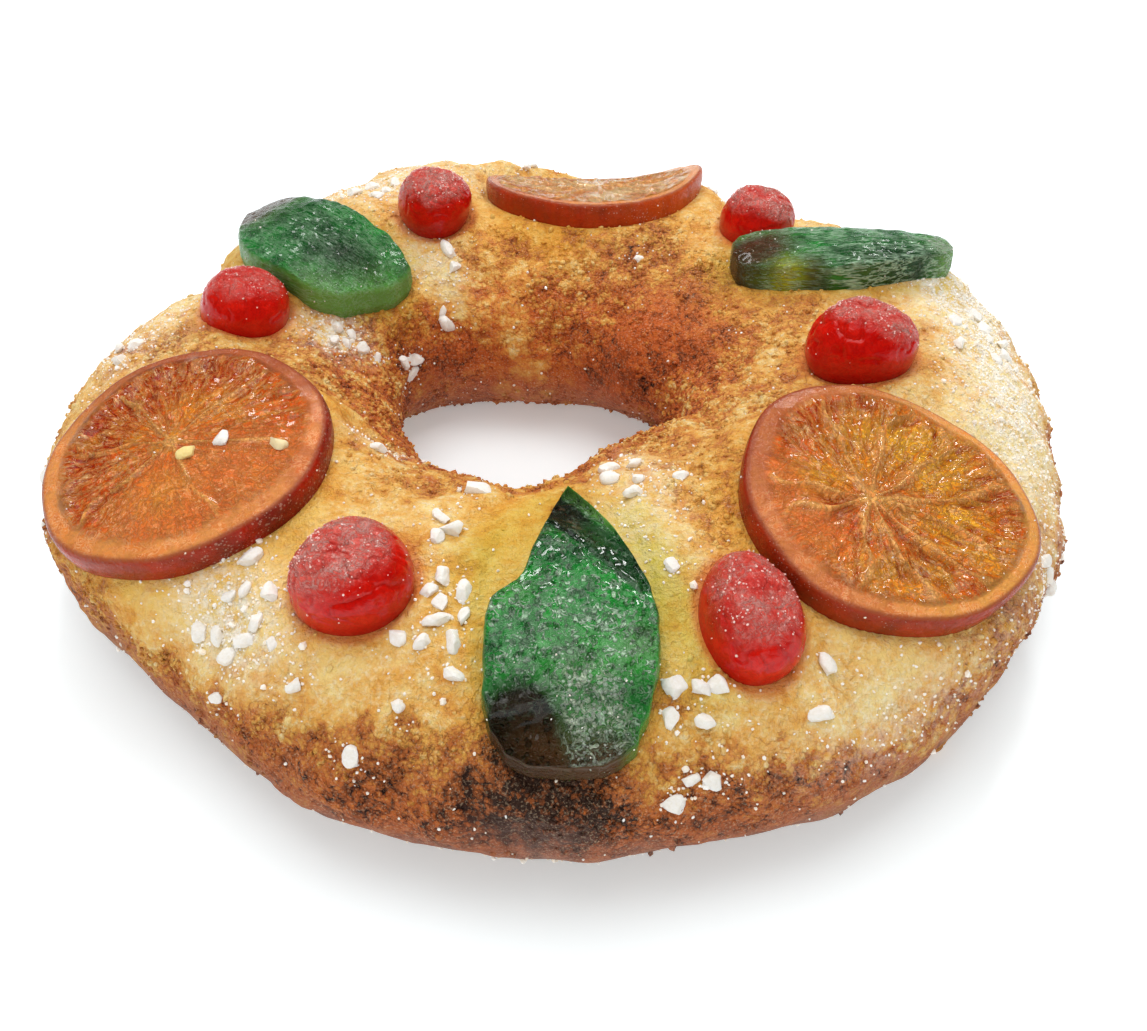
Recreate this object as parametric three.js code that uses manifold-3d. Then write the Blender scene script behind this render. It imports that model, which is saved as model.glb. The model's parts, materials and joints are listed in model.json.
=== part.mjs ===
// A king cake: a ring of baked sweet dough about 220 mm across, set with three candied orange slices,
// six glazed cherries and three wedges of candied green rind, and scattered with nibs of pearl sugar.
// Millimetres, +Z up, resting on z = 0. The front of the cake faces -Y.

import * as THREE from "three";
import { mergeVertices } from "three/addons/utils/BufferGeometryUtils.js";
import Module from "manifold-3d";

const wasm = await Module();
wasm.setup();

// Driving dimensions of the ring.
const OUTER_RADIUS = 110;
const HOLE_RADIUS = 28;
const CREST_HEIGHT = 45.5; // top of the ring above the table
const WAIST_HEIGHT = 19.4; // where the ring is widest
const CENTRE_SHIFT = new THREE.Vector3(-0.923, -0.846, 0); // brings the middle of the cake to the origin
// Unevenness of the hand-shaped outlines: [waves round the ring, cosine mm, sine mm].
const OUTER_WAVES = [[2, 2.2, -3.5], [3, 3.4, -0.2], [4, 1.6, 4.8], [5, -2.6, -0.1]];
const HOLE_WAVES = [[1, -8.5, 1.5], [2, 5.0, 0.5], [3, 0.6, 1.7], [4, 0.8, -2.1]];
const OUTER_BULGES = [[62, 16, 7], [112, 16, -6]]; // at the back: [degrees, spread degrees, mm]
const SWELL_HEIGHT = 0.7; // mm, the shallow unevenness of the crust
const FLAT_SHARE = 0.08; // share of the section beside each foot over which the unevenness fades out
const RING_STEPS = 72;
const SECTION_STEPS = 22;

// Swellings and hollows of the dough: [degrees round the ring, share across it, spread mm, height mm].
// Across the ring, 0 is the outer foot, 0.5 the crest and 1 the inner foot.
const LUMPS = [
  [38, 0.74, 9, 5], // shoulder of the seam at the back right
  [30, 0.93, 7, -4], // crease below that shoulder
  [195, 0.8, 9, 1], // the left of the hole
  [172, 0.83, 12, 5],
  [215, 0.68, 10, -3],
  [272, 0.7, 11, -2.5],
  [285, 0.84, 6, -2.5],
  [155, 0.36, 14, -4], // outer slope behind the left of the cake
  [106, 0.38, 16, 1],
  [60, 0.34, 16, -3],
  [247, 0.2, 12, 2], // the outer side
  [300, 0.16, 14, 2],
  [340, 0.12, 12, 2.5],
  [120, 0.2, 14, 2],
  [70, 0.8, 12, 2],
];

// Candied orange slices.
const SLICE_THICKNESS = 7;
const SLICE_SEGMENTS = 10; // of flesh, between the membranes
const PEEL_WIDTH = 5.5;
const FLESH_DEPTH = 0.9; // how far the flesh lies below the peel

// Candied green rind.
const RIND_THICKNESS = 9;

// Glazed cherries, as shares of their radius.
const WRINKLE = 0.03;
const WAVINESS = 0.02;
const DIMPLE = 0.12;

// Nibs of pearl sugar. Each group: [degrees round the ring, share across it, spread mm, how many].
const NIB_HALF = [2.1, 1.5, 1.25]; // mm, half sizes of a middling nib
const NIB_LIFT = 0.35; // mm, the middle of a nib above the crust
const NIB_APART = 3.3; // mm, least distance between the middles of two nibs
const NIB_TRIES = 12; // places tried for each nib before it is given up
const NIB_SIZES = { least: 0.8, range: 0.45 }; // size of a whole nib, as a share of the middling one
const NIB_CORNERS = { least: 0.85, range: 0.3 }; // how far out each corner of a nib lies
const NIB_GROUPS = [
  [222, 0.63, 0, 1], [252, 0.61, 0, 1], [252, 0.53, 4.5, 3], [255, 0.43, 8, 9], [260, 0.37, 0, 1],
  [255, 0.33, 0, 1], [252, 0.26, 0, 1], [268, 0.25, 0, 1], [281, 0.23, 0, 1], [284.5, 0.26, 2.5, 2],
  [284, 0.34, 5, 5], [287, 0.46, 0, 1], [288, 0.595, 7, 5], [298, 0.55, 0, 1], [229, 0.41, 3, 2],
  [233, 0.34, 9, 9], [235, 0.24, 0, 1], [299, 0.33, 0, 1], [296, 0.29, 0, 1], [302, 0.39, 0, 1],
  [5.5, 0.365, 9, 9], [165, 0.68, 6, 7], [163, 0.735, 2, 2], [152, 0.78, 5, 3], [178, 0.37, 5, 3],
  [135, 0.72, 4, 2], [124, 0.62, 4, 2], [124, 0.43, 6, 5], [62, 0.61, 0, 1], [244, 0.31, 0, 1],
  [60, 0.36, 10, 4], [100, 0.3, 12, 4], [140, 0.3, 12, 3], [200, 0.24, 10, 3], [330, 0.2, 10, 3],
];
const GROUP_RADIUS = 75; // mm, turns a distance along the ring into an angle
const GROUP_LENGTH = 190; // mm, turns a distance across the ring into a share of its section
const SLICE_NIBS = [[0, -4.2], [6.6, -5.4], [14.7, -13.6]]; // on the left slice, mm along and across it
const CRUMB = { degrees: 315.4, radius: 105, half: [4.5, 4, 3] }; // stray bit of crust at the foot

const FRUIT_GAP = 0.3; // clearance between a piece of fruit and its pocket in the dough
// The dough is pressed flat under a slice or rind: [share of its half width where the flat ends, where the
// dough is free again], and fully only within [least, full] mm of its underside.
const PRESS_RING = [0.9, 1.35];
const PRESS_BELOW = [-20, -10];

const MERGE_DISTANCE = 1e-3;
const radians = THREE.MathUtils.degToRad;
const TURN = 2 * Math.PI;
const UP = new THREE.Vector3(0, 0, 1);
const FOOT_ANGLE = Math.asin(WAIST_HEIGHT / (CREST_HEIGHT - WAIST_HEIGHT));

// The fruit. "at" is its middle seen from above, halfX and halfY are half sizes, and "sink" is how far its
// underside, or a cherry's middle, lies below the crust. bendX and bendY lift the ends (+) or drop them (-),
// and curl lifts the rim on one side: [degrees, mm]. The dough is pressed to the height "bed" above the
// underside of a slice or rind.
const SLICES = [
  {
    name: "orange_slice_left", at: [-71.2, -39.8], sink: 1.5, heading: 35,
    halfX: 28.7, halfY: 28.3, bendX: -3, bendY: -1, bed: 2,
  },
  {
    name: "orange_slice_right", at: [62.2, -52.9], sink: 1.5, heading: -40,
    halfX: 28.5, halfY: 28, bendX: 0, bendY: -2, bed: 2,
  },
  {
    name: "orange_slice_back", at: [9.5, 72.5], sink: 7.2, heading: 0, leanX: -12, leanY: -2,
    halfX: 29, halfY: 24, bendX: 2, bendY: -1.5, curl: [10, 3.4], bed: 2,
  },
];
const CHERRIES = [
  { name: "cherry_front_left", at: [-34.6, -72.3], sink: -1.3, halfX: 11.1, halfY: 10.8, halfZ: 10.5 },
  { name: "cherry_front_right", at: [34.5, -79.4], sink: 0, heading: 9, halfX: 8.9, halfY: 12.2, halfZ: 10 },
  { name: "cherry_right", at: [66, -6], sink: -3, halfX: 11.9, halfY: 10.2, halfZ: 10.2 },
  { name: "cherry_back_right", at: [50.2, 49.5], sink: -1.5, halfX: 9.3, halfY: 9.3, halfZ: 9.2 },
  { name: "cherry_back_left", at: [-31.4, 55.5], sink: -4, halfX: 9.3, halfY: 9.2, halfZ: 9.2 },
  { name: "cherry_left", at: [-70.9, 12.7], sink: 0, halfX: 10, halfY: 10, halfZ: 9.8 },
];
// A rind's outline is given by how sharp its "point" and "blunt" ends are, and "bow" bends it sideways.
const RINDS = [
  {
    name: "green_rind_front", at: [2.9, -80.3], sink: 3, heading: 90,
    halfX: 30.3, halfY: 15.2, bendX: -8.5, bendY: -1, point: 0.8, blunt: 0.36, bow: -1, bed: 4,
  },
  {
    name: "green_rind_back_left", at: [-58.9, 39.1], sink: 2, heading: 145,
    halfX: 25, halfY: 16.5, bendX: -7, bendY: -1, point: 0.5, blunt: 0.3, bow: 0, bed: 3,
  },
  {
    name: "green_rind_back_right", at: [68.5, 31.5], sink: 2, heading: 2, leanY: -4,
    halfX: 26.8, halfY: 10.5, bendX: -2.5, bendY: -1, point: 0.25, blunt: 0.45, bow: -3, bed: 3,
  },
];
const FLAT_FRUIT = [...SLICES, ...RINDS];
const ALL_FRUIT = [...SLICES, ...CHERRIES, ...RINDS];

// A repeatable random number from 0 to 1.
function seeded(seed) {
  let state = seed;
  return () => {
    state = (state * 1664525 + 1013904223) % 4294967296;
    return state / 4294967296;
  };
}

function smoothStep(low, high, value) {
  return THREE.MathUtils.smoothstep(value, low, high);
}

function waves(list, angle) {
  return list.reduce((sum, [n, c, s]) => sum + c * Math.cos(n * angle) + s * Math.sin(n * angle), 0);
}

function outerRadius(angle) {
  const bulge = ([degrees, spread, height]) => {
    const away = ((((angle * 180) / Math.PI - degrees + 540) % 360) - 180) / spread;
    return height * Math.exp(-(away ** 2) / 2);
  };
  return OUTER_RADIUS + waves(OUTER_WAVES, angle) + OUTER_BULGES.reduce((sum, each) => sum + bulge(each), 0);
}

function innerRadius(angle) {
  return HOLE_RADIUS + waves(HOLE_WAVES, angle);
}

// A point of the plain ring: angle round it, and across from the outer foot (0) to the inner foot (1).
function ringPoint(angle, across) {
  const turn = across * (Math.PI + 2 * FOOT_ANGLE) - FOOT_ANGLE;
  const outer = outerRadius(angle);
  const inner = innerRadius(angle);
  const radius = inner + ((outer - inner) * (1 + Math.cos(turn))) / 2;
  const height = WAIST_HEIGHT + (CREST_HEIGHT - WAIST_HEIGHT) * Math.sin(turn);
  return new THREE.Vector3(radius * Math.cos(angle), radius * Math.sin(angle), Math.max(height, 0));
}

function ringNormal(angle, across) {
  const step = 0.002;
  const along = ringPoint(angle + step, across).sub(ringPoint(angle - step, across));
  const over = ringPoint(angle, across + step).sub(ringPoint(angle, across - step));
  return along.cross(over).normalize();
}

// The place of a piece of fruit on the ring: z out of the dough, and x along the heading, seen from above.
function seat({ at: [x, y], sink, heading = 0, leanX = 0, leanY = 0 }) {
  const angle = Math.atan2(y, x);
  const outer = outerRadius(angle);
  const inner = innerRadius(angle);
  const turn = Math.acos((2 * (Math.hypot(x, y) - inner)) / (outer - inner) - 1);
  const across = (turn + FOOT_ANGLE) / (Math.PI + 2 * FOOT_ANGLE);
  const out = ringNormal(angle, across);
  const ahead = new THREE.Vector3(Math.cos(radians(heading)), Math.sin(radians(heading)), 0);
  ahead.addScaledVector(out, -ahead.dot(out)).normalize();
  const origin = ringPoint(angle, across).addScaledVector(out, -sink);
  return new THREE.Matrix4()
    .makeBasis(ahead, out.clone().cross(ahead), out)
    .setPosition(origin)
    .multiply(new THREE.Matrix4().makeRotationX(radians(leanX)))
    .multiply(new THREE.Matrix4().makeRotationY(radians(leanY)));
}

// How far a flat piece's middle surface is lifted at x, y of its own frame.
function bend({ halfX, halfY, bendX, bendY, curl: [degrees, height] = [0, 0] }, x, y) {
  const side = (x / halfX) * Math.cos(radians(degrees)) + (y / halfY) * Math.sin(radians(degrees));
  return bendX * (x / halfX) ** 2 + bendY * (y / halfY) ** 2 + height * Math.max(0, side) ** 3;
}

// Presses a point of the dough to the bed of each slice and rind that lies over it.
function press(point) {
  for (const piece of FLAT_FRUIT) {
    const local = point.clone().applyMatrix4(piece.place.clone().invert());
    const reach = Math.hypot(local.x / piece.halfX, local.y / piece.halfY);
    const share = (1 - smoothStep(...PRESS_RING, reach)) * smoothStep(...PRESS_BELOW, local.z);
    if (share > 0) {
      local.z += (piece.bed + bend(piece, local.x, local.y) - local.z) * share;
      point.copy(local.applyMatrix4(piece.place));
    }
  }
  return point;
}

// Shallow unevenness of the crust, mm, at a point.
function swell({ x, y, z }) {
  const broad = Math.sin(x / 6.3 + 1.3 * Math.sin(y / 9.1)) * Math.sin(y / 5.7 + 1.1 * Math.sin(x / 8.3));
  const fine = Math.sin(x / 3.1 + z / 4.7) * Math.sin(y / 3.7 - z / 5.3);
  return SWELL_HEIGHT * (broad + 0.5 * fine);
}

// A point of the finished crust.
function crustPoint(angle, across) {
  const point = ringPoint(angle, across);
  const normal = ringNormal(angle, across);
  const free = smoothStep(0, FLAT_SHARE, across) * smoothStep(0, FLAT_SHARE, 1 - across);
  let lift = swell(point);
  for (const [degrees, share, spread, height] of LUMPS) {
    const distance = point.distanceTo(ringPoint(radians(degrees), share));
    lift += height * Math.exp(-(distance ** 2) / (2 * spread ** 2));
  }
  return press(point.addScaledVector(normal, lift * free));
}

// A geometry as one closed surface of bare positions.
function closed(geometry) {
  geometry.deleteAttribute("normal");
  geometry.deleteAttribute("uv");
  return mergeVertices(geometry, MERGE_DISTANCE);
}

// Moves every vertex of a geometry and closes its surface.
function shape(geometry, move) {
  const position = geometry.getAttribute("position");
  const vertex = new THREE.Vector3();
  for (let i = 0; i < position.count; i++) {
    const moved = move(vertex.fromBufferAttribute(position, i), i);
    position.setXYZ(i, moved.x, moved.y, moved.z);
  }
  return closed(geometry);
}

function toSolid(geometry) {
  const vertProperties = new Float32Array(geometry.getAttribute("position").array);
  const triVerts = new Uint32Array(geometry.index.array);
  return new wasm.Manifold(new wasm.Mesh({ numProp: 3, vertProperties, triVerts }));
}

function toGeometry(solid) {
  const mesh = solid.getMesh();
  const geometry = new THREE.BufferGeometry();
  geometry.setAttribute("position", new THREE.BufferAttribute(new Float32Array(mesh.vertProperties), 3));
  geometry.setIndex(new THREE.BufferAttribute(new Uint32Array(mesh.triVerts), 1));
  return geometry;
}

// The ring of dough: a torus whose vertices are laid on the crust.
function doughRing() {
  const torus = new THREE.TorusGeometry(2, 1, SECTION_STEPS, RING_STEPS);
  return shape(torus, (vertex, i) => {
    const row = Math.floor(i / (RING_STEPS + 1)) % SECTION_STEPS;
    const column = (i % (RING_STEPS + 1)) % RING_STEPS;
    return crustPoint((column / RING_STEPS) * TURN, row / (SECTION_STEPS - 1));
  });
}

// How much wider a shape with few sides is made so that the same shape with many sides fits in it.
function slack(sides) {
  return 1 / Math.cos(Math.PI / sides);
}

function turned(profile, sides) {
  const points = profile.map(([radius, height]) => new THREE.Vector2(radius, height));
  return new THREE.LatheGeometry(points, sides).rotateX(Math.PI / 2);
}

// A candied orange slice: a peel rim round sunken flesh, with membranes between the segments. Its pocket
// is the same shape, a gap wider and with fewer sides.
function orangeSlice(piece, pocket = false) {
  const grow = pocket ? FRUIT_GAP : 0;
  const low = -1.5 * grow;
  const high = SLICE_THICKNESS + grow;
  const sides = SLICE_SEGMENTS * (pocket ? 2 : 4);
  const wide = pocket ? slack(sides) : 1;
  const inside = 1 - PEEL_WIDTH / piece.halfX;
  const profile = pocket
    ? [[0, low], [0.55, low], [0.8, low], [1, low], [1, high], [0, high]]
    : [[0, low], [0.55, low], [0.8, low], [0.97, low], [1, high * 0.5], [0.985, high], [inside, high],
      [inside - 0.06, high], [0.3, high], [0, high]];
  return shape(turned(profile, sides), (vertex) => {
    const radius = Math.hypot(vertex.x, vertex.y);
    const angle = Math.atan2(vertex.y, vertex.x);
    const isFlesh = !pocket && vertex.z > SLICE_THICKNESS * 0.9 && radius < inside - 0.03;
    if (isFlesh) {
      const membrane = Math.abs(Math.cos((angle * SLICE_SEGMENTS) / 2)) ** 6;
      vertex.z -= FLESH_DEPTH * (1 - membrane) * Math.min(1, radius * 3);
    }
    vertex.x *= (piece.halfX + grow) * wide;
    vertex.y *= (piece.halfY + grow) * wide;
    vertex.z += bend(piece, vertex.x, vertex.y);
    return vertex;
  });
}

// A glazed cherry: a squashed ball with a dimple and shallow wrinkles, its middle at its seat.
function cherry(piece, pocket = false) {
  const sides = pocket ? 12 : 16;
  const grow = pocket ? FRUIT_GAP : 0;
  const wide = pocket ? slack(sides) : 1;
  const ball = new THREE.SphereGeometry(1, sides, sides * 0.625).rotateX(Math.PI / 2);
  return shape(ball, (vertex) => {
    const angle = Math.atan2(vertex.y, vertex.x);
    const side = Math.hypot(vertex.x, vertex.y);
    const wrinkle = WRINKLE * Math.sin(3 * angle + piece.at[0]) * side;
    const wave = WAVINESS * Math.sin(5 * vertex.z + angle);
    const dimple = vertex.z > 0 ? DIMPLE * Math.exp(-((vertex.x - 0.2) ** 2 + vertex.y ** 2) * 8) : 0;
    vertex.multiplyScalar((1 + wrinkle + wave) * (1 - dimple));
    vertex.x *= (piece.halfX + grow) * wide;
    vertex.y *= (piece.halfY + grow) * wide;
    vertex.z *= (piece.halfZ + grow) * wide;
    return vertex;
  });
}

// A wedge of candied rind: leaf shaped from above, with steep sides and a slightly domed top.
function greenRind(piece, pocket = false) {
  const { halfX, halfY, point, blunt, bow } = piece;
  const sides = pocket ? 20 : 28;
  const grow = pocket ? FRUIT_GAP : 0;
  const wide = pocket ? slack(sides) : 1;
  const low = -grow;
  const high = RIND_THICKNESS + grow;
  const profile = [[0, low], [0.6, low], [0.94, low], [1, high * 0.45], [0.96, high * 0.88], [0.75, high],
    [0.4, high * 1.03], [0, high * 1.04]];
  const widthAt = (along) => (1 - along) ** point * (1 + along) ** blunt;
  const widest = widthAt((blunt - point) / (blunt + point));
  return shape(turned(profile, sides), (vertex) => {
    const radius = Math.hypot(vertex.x, vertex.y) || 1;
    const along = THREE.MathUtils.clamp(vertex.x / radius, -1, 1);
    vertex.y = Math.sign(vertex.y) * radius * (widthAt(along) / widest) * (halfY + grow) * wide;
    vertex.y += bow * (1 - vertex.x ** 2);
    vertex.x *= (halfX + grow) * wide;
    vertex.z += bend(piece, vertex.x, vertex.y);
    return vertex;
  });
}

// Whether a point of the crust is under a piece of fruit or within a margin of it.
function lies(point, piece, margin) {
  const local = point.clone().applyMatrix4(piece.place.clone().invert());
  const x = Math.abs(local.x) / (piece.halfX + margin);
  const y = Math.abs(local.y) / (piece.halfY + margin);
  const power = piece.blunt ? 3 : 2;
  return x ** power + y ** power < 1;
}

// Where the nibs lie, as frames with z out of the crust: each group is filled at random, clear of the fruit.
function nibPlaces() {
  const random = seeded(20);
  const places = [];
  const isFree = (point) =>
    places.every((other) => other.point.distanceTo(point) >= NIB_APART) &&
    !ALL_FRUIT.some((piece) => lies(point, piece, NIB_HALF[0]));
  for (const [degrees, share, spread, count] of NIB_GROUPS) {
    let left = count;
    for (let attempt = 0; attempt < NIB_TRIES * count && left > 0; attempt++) {
      const away = spread * Math.sqrt(random());
      const bearing = TURN * random();
      const angle = radians(degrees) + (away * Math.cos(bearing)) / GROUP_RADIUS;
      const across = share + (away * Math.sin(bearing)) / GROUP_LENGTH;
      const point = crustPoint(angle, across);
      if (isFree(point)) {
        const turn = TURN * random();
        const size = NIB_SIZES.least + NIB_SIZES.range * random();
        places.push({ point, normal: ringNormal(angle, across), turn, size });
        left--;
      }
    }
  }
  return places;
}

// A nib of pearl sugar: a small uneven lump, mostly above the surface that it is stuck to.
function nib({ point, normal, turn, size }, seed) {
  const random = seeded(seed);
  const tilt = new THREE.Quaternion().setFromUnitVectors(UP, normal);
  return shape(closed(new THREE.IcosahedronGeometry(1, 0)), (vertex) => {
    const corner = NIB_CORNERS.least + NIB_CORNERS.range * random();
    vertex.multiplyScalar(size * corner).multiply(new THREE.Vector3(...NIB_HALF));
    vertex.applyAxisAngle(UP, turn).applyQuaternion(tilt);
    return vertex.add(point).addScaledVector(normal, NIB_LIFT);
  });
}

// The stray bit of crust, flat where it rests on the table.
function crumb() {
  const bearing = radians(CRUMB.degrees);
  const middle = new THREE.Vector3(Math.cos(bearing), Math.sin(bearing), 0).multiplyScalar(CRUMB.radius);
  middle.z = CRUMB.half[2] * 0.7;
  return shape(new THREE.IcosahedronGeometry(1, 0), (vertex) => {
    vertex.multiply(new THREE.Vector3(...CRUMB.half)).applyAxisAngle(UP, bearing).add(middle);
    vertex.z = Math.max(vertex.z, 0);
    return vertex;
  });
}

// The largest body of a solid, without loose scraps.
function largest(solid) {
  return solid.decompose().reduce((best, body) => (body.volume() > best.volume() ? body : best));
}

const crustMaterial = new THREE.MeshStandardMaterial({ color: 0xc98b45, roughness: 0.85, metalness: 0 });
const orangeMaterial = new THREE.MeshStandardMaterial({ color: 0xb5521a, roughness: 0.3, metalness: 0 });
const cherryMaterial = new THREE.MeshStandardMaterial({ color: 0xb01018, roughness: 0.2, metalness: 0 });
const rindMaterial = new THREE.MeshStandardMaterial({ color: 0x14602e, roughness: 0.35, metalness: 0 });

const cake = new THREE.Group();
cake.position.copy(CENTRE_SHIFT);

// Adds a piece of fruit, with its nibs of sugar, to the cake.
function addFruit(piece, build, material) {
  let solid = toSolid(build(piece));
  const nibs = piece.name === "orange_slice_left" ? SLICE_NIBS : [];
  nibs.forEach(([x, y], i) => {
    const point = new THREE.Vector3(x, y, SLICE_THICKNESS - FLESH_DEPTH / 2 + bend(piece, x, y));
    solid = solid.add(toSolid(nib({ point, normal: UP, turn: i + 0.5, size: 1.1 }, 10 + i)));
  });
  const mesh = new THREE.Mesh(toGeometry(solid), material);
  mesh.name = piece.name;
  mesh.applyMatrix4(piece.place);
  cake.add(mesh);
}

// The pocket that a piece of fruit sits in.
function pocketOf(piece, build) {
  return toSolid(build(piece, true).applyMatrix4(piece.place));
}

for (const piece of ALL_FRUIT) piece.place = seat(piece);
let dough = toSolid(doughRing()).add(toSolid(crumb()));
nibPlaces().forEach((place, i) => {
  dough = dough.add(toSolid(nib(place, 100 + i)));
});
for (const [pieces, build, material] of [
  [SLICES, orangeSlice, orangeMaterial],
  [CHERRIES, cherry, cherryMaterial],
  [RINDS, greenRind, rindMaterial],
]) {
  for (const piece of pieces) {
    addFruit(piece, build, material);
    dough = dough.subtract(pocketOf(piece, build));
  }
}

const ring = new THREE.Mesh(toGeometry(largest(dough)), crustMaterial);
ring.name = "dough_ring";
cake.add(ring);

export default cake;
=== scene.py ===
"""A king cake for Blender: a ring of sweet dough with candied fruit and pearl sugar.

The forms of the dough and the fruit are worked out in millimetres about the middle of the ring, and each
piece is laid in metres in its final place.
"""

import itertools
import json
import math

import bpy
import numpy as np
from mathutils import Matrix, Vector

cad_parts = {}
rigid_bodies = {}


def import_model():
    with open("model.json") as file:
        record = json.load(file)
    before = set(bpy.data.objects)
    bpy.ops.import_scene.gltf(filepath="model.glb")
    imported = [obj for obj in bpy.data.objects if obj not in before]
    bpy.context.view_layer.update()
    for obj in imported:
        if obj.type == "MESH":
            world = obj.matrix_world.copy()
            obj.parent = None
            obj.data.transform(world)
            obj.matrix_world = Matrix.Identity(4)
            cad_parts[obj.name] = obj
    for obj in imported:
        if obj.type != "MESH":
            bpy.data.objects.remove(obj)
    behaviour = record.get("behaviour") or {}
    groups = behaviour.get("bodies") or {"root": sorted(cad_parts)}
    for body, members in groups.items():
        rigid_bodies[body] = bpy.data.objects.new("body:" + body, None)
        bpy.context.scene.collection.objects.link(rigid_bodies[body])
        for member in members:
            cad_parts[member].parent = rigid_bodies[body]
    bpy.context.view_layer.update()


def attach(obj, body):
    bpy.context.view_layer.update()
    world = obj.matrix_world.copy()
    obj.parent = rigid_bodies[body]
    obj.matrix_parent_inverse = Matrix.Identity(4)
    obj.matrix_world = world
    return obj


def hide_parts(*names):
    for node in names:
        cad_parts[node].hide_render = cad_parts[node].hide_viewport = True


bl_info = {
    "name": "King cake",
    "version": (1, 0, 0),
    "blender": (4, 5, 0),
    "location": "View3D > Sidebar > King cake",
    "description": "Builds a ring of sweet dough with candied fruit and pearl sugar",
    "category": "Add Mesh",
}

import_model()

# Driving dimensions of the ring, in millimetres.
OUTER_RADIUS = 110
HOLE_RADIUS = 28
CREST_HEIGHT = 45.5
WAIST_HEIGHT = 19.4
CENTRE_SHIFT = np.array([-0.923, -0.846, 0])
OUTER_WAVES = [(2, 2.2, -3.5), (3, 3.4, -0.2), (4, 1.6, 4.8), (5, -2.6, -0.1)]
HOLE_WAVES = [(1, -8.5, 1.5), (2, 5.0, 0.5), (3, 0.6, 1.7), (4, 0.8, -2.1)]
OUTER_BULGES = [(62, 16, 7), (112, 16, -6)]
SWELL_HEIGHT = 0.7
FLAT_SHARE = 0.08
FOOT_ANGLE = math.asin(WAIST_HEIGHT / (CREST_HEIGHT - WAIST_HEIGHT))
TURN = 2 * math.pi

# Swellings and hollows: (degrees round the ring, share across it, spread, height).
# Across the ring, 0 is the outer foot, 0.5 the crest and 1 the inner foot.
LUMPS = [
    (38, 0.74, 9, 5), (30, 0.93, 7, -4), (195, 0.8, 9, 1), (172, 0.83, 12, 5), (215, 0.68, 10, -3),
    (272, 0.7, 11, -2.5), (285, 0.84, 6, -2.5), (155, 0.36, 14, -4), (106, 0.38, 16, 1), (60, 0.34, 16, -3),
    (247, 0.2, 12, 2), (300, 0.16, 14, 2), (340, 0.12, 12, 2.5), (120, 0.2, 14, 2), (70, 0.8, 12, 2),
]

# Fruit: the middle seen from above, how far it is sunk, its heading and lean, half sizes, how much its ends
# bend up or down, and the height of the bed that the dough is pressed to.
SLICE_THICKNESS = 7
PEEL_WIDTH = 4.4
RIND_THICKNESS = 9
SLICES = [
    dict(name="orange_slice_left", at=(-71.2, -39.8), sink=1.5, heading=35, half=(28.7, 28.3),
         bend=(-3, -1), bed=2),
    dict(name="orange_slice_right", at=(62.2, -52.9), sink=1.5, heading=-40, half=(28.5, 28),
         bend=(0, -2), bed=2),
    dict(name="orange_slice_back", at=(9.5, 72.5), sink=7.2, heading=0, lean=(-12, -2), half=(29, 24),
         bend=(2, -1.5), curl=(10, 3.4), bed=2),
]
CHERRIES = [
    dict(name="cherry_front_left", at=(-34.6, -72.3), sink=-1.3, half=(11.1, 10.8, 10.5)),
    dict(name="cherry_front_right", at=(34.5, -79.4), sink=0, heading=9, half=(8.9, 12.2, 10)),
    dict(name="cherry_right", at=(66, -6), sink=-3, half=(11.9, 10.2, 10.2)),
    dict(name="cherry_back_right", at=(50.2, 49.5), sink=-1.5, half=(9.3, 9.3, 9.2)),
    dict(name="cherry_back_left", at=(-31.4, 55.5), sink=-4, half=(9.3, 9.2, 9.2)),
    dict(name="cherry_left", at=(-70.9, 12.7), sink=0, half=(10, 10, 9.8)),
]
RINDS = [
    dict(name="green_rind_front", at=(2.9, -80.3), sink=3, heading=90, half=(30.3, 15.2), bend=(-8.5, -1),
         point=0.8, blunt=0.36, bow=-1, bed=4),
    dict(name="green_rind_back_left", at=(-58.9, 39.1), sink=2, heading=145, half=(25, 16.5), bend=(-7, -1),
         point=0.5, blunt=0.3, bow=0, bed=3),
    dict(name="green_rind_back_right", at=(68.5, 31.5), sink=2, heading=2, lean=(0, -4), half=(26.8, 10.5),
         bend=(-2.5, -1), point=0.25, blunt=0.45, bow=-3, bed=3),
]
FLAT_FRUIT = SLICES + RINDS
ALL_FRUIT = SLICES + CHERRIES + RINDS

# Nibs of pearl sugar. Each group: (degrees round the ring, share across it, spread, how many).
NIB_HALF = (2.1, 1.5, 1.25)
NIB_LIFT = 0.35
NIB_APART = 3.3
NIB_TRIES = 12
NIB_GROUPS = [
    (222, 0.63, 0, 1), (252, 0.61, 0, 1), (252, 0.53, 4.5, 3), (255, 0.43, 8, 9), (260, 0.37, 0, 1),
    (255, 0.33, 0, 1), (252, 0.26, 0, 1), (268, 0.25, 0, 1), (281, 0.23, 0, 1), (284.5, 0.26, 2.5, 2),
    (284, 0.34, 5, 5), (287, 0.46, 0, 1), (288, 0.595, 7, 5), (298, 0.55, 0, 1), (229, 0.41, 3, 2),
    (233, 0.34, 9, 9), (235, 0.24, 0, 1), (299, 0.33, 0, 1), (296, 0.29, 0, 1), (302, 0.39, 0, 1),
    (5.5, 0.365, 9, 9), (165, 0.68, 6, 7), (163, 0.735, 2, 2), (152, 0.78, 5, 3), (178, 0.37, 5, 3),
    (135, 0.72, 4, 2), (124, 0.62, 4, 2), (124, 0.43, 6, 5), (62, 0.61, 0, 1), (244, 0.31, 0, 1),
    (60, 0.36, 10, 4), (100, 0.3, 12, 4), (140, 0.3, 12, 3), (200, 0.24, 10, 3), (330, 0.2, 10, 3),
]
GROUP_RADIUS = 75
GROUP_LENGTH = 190
SLICE_NIBS = [(0, -4.2, 1.0), (6.6, -5.4, 0.0), (14.7, -13.6, 0.7)]  # along, across, how yellow
CRUMB = dict(degrees=315.4, radius=105, half=(4.5, 4, 3))

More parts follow.
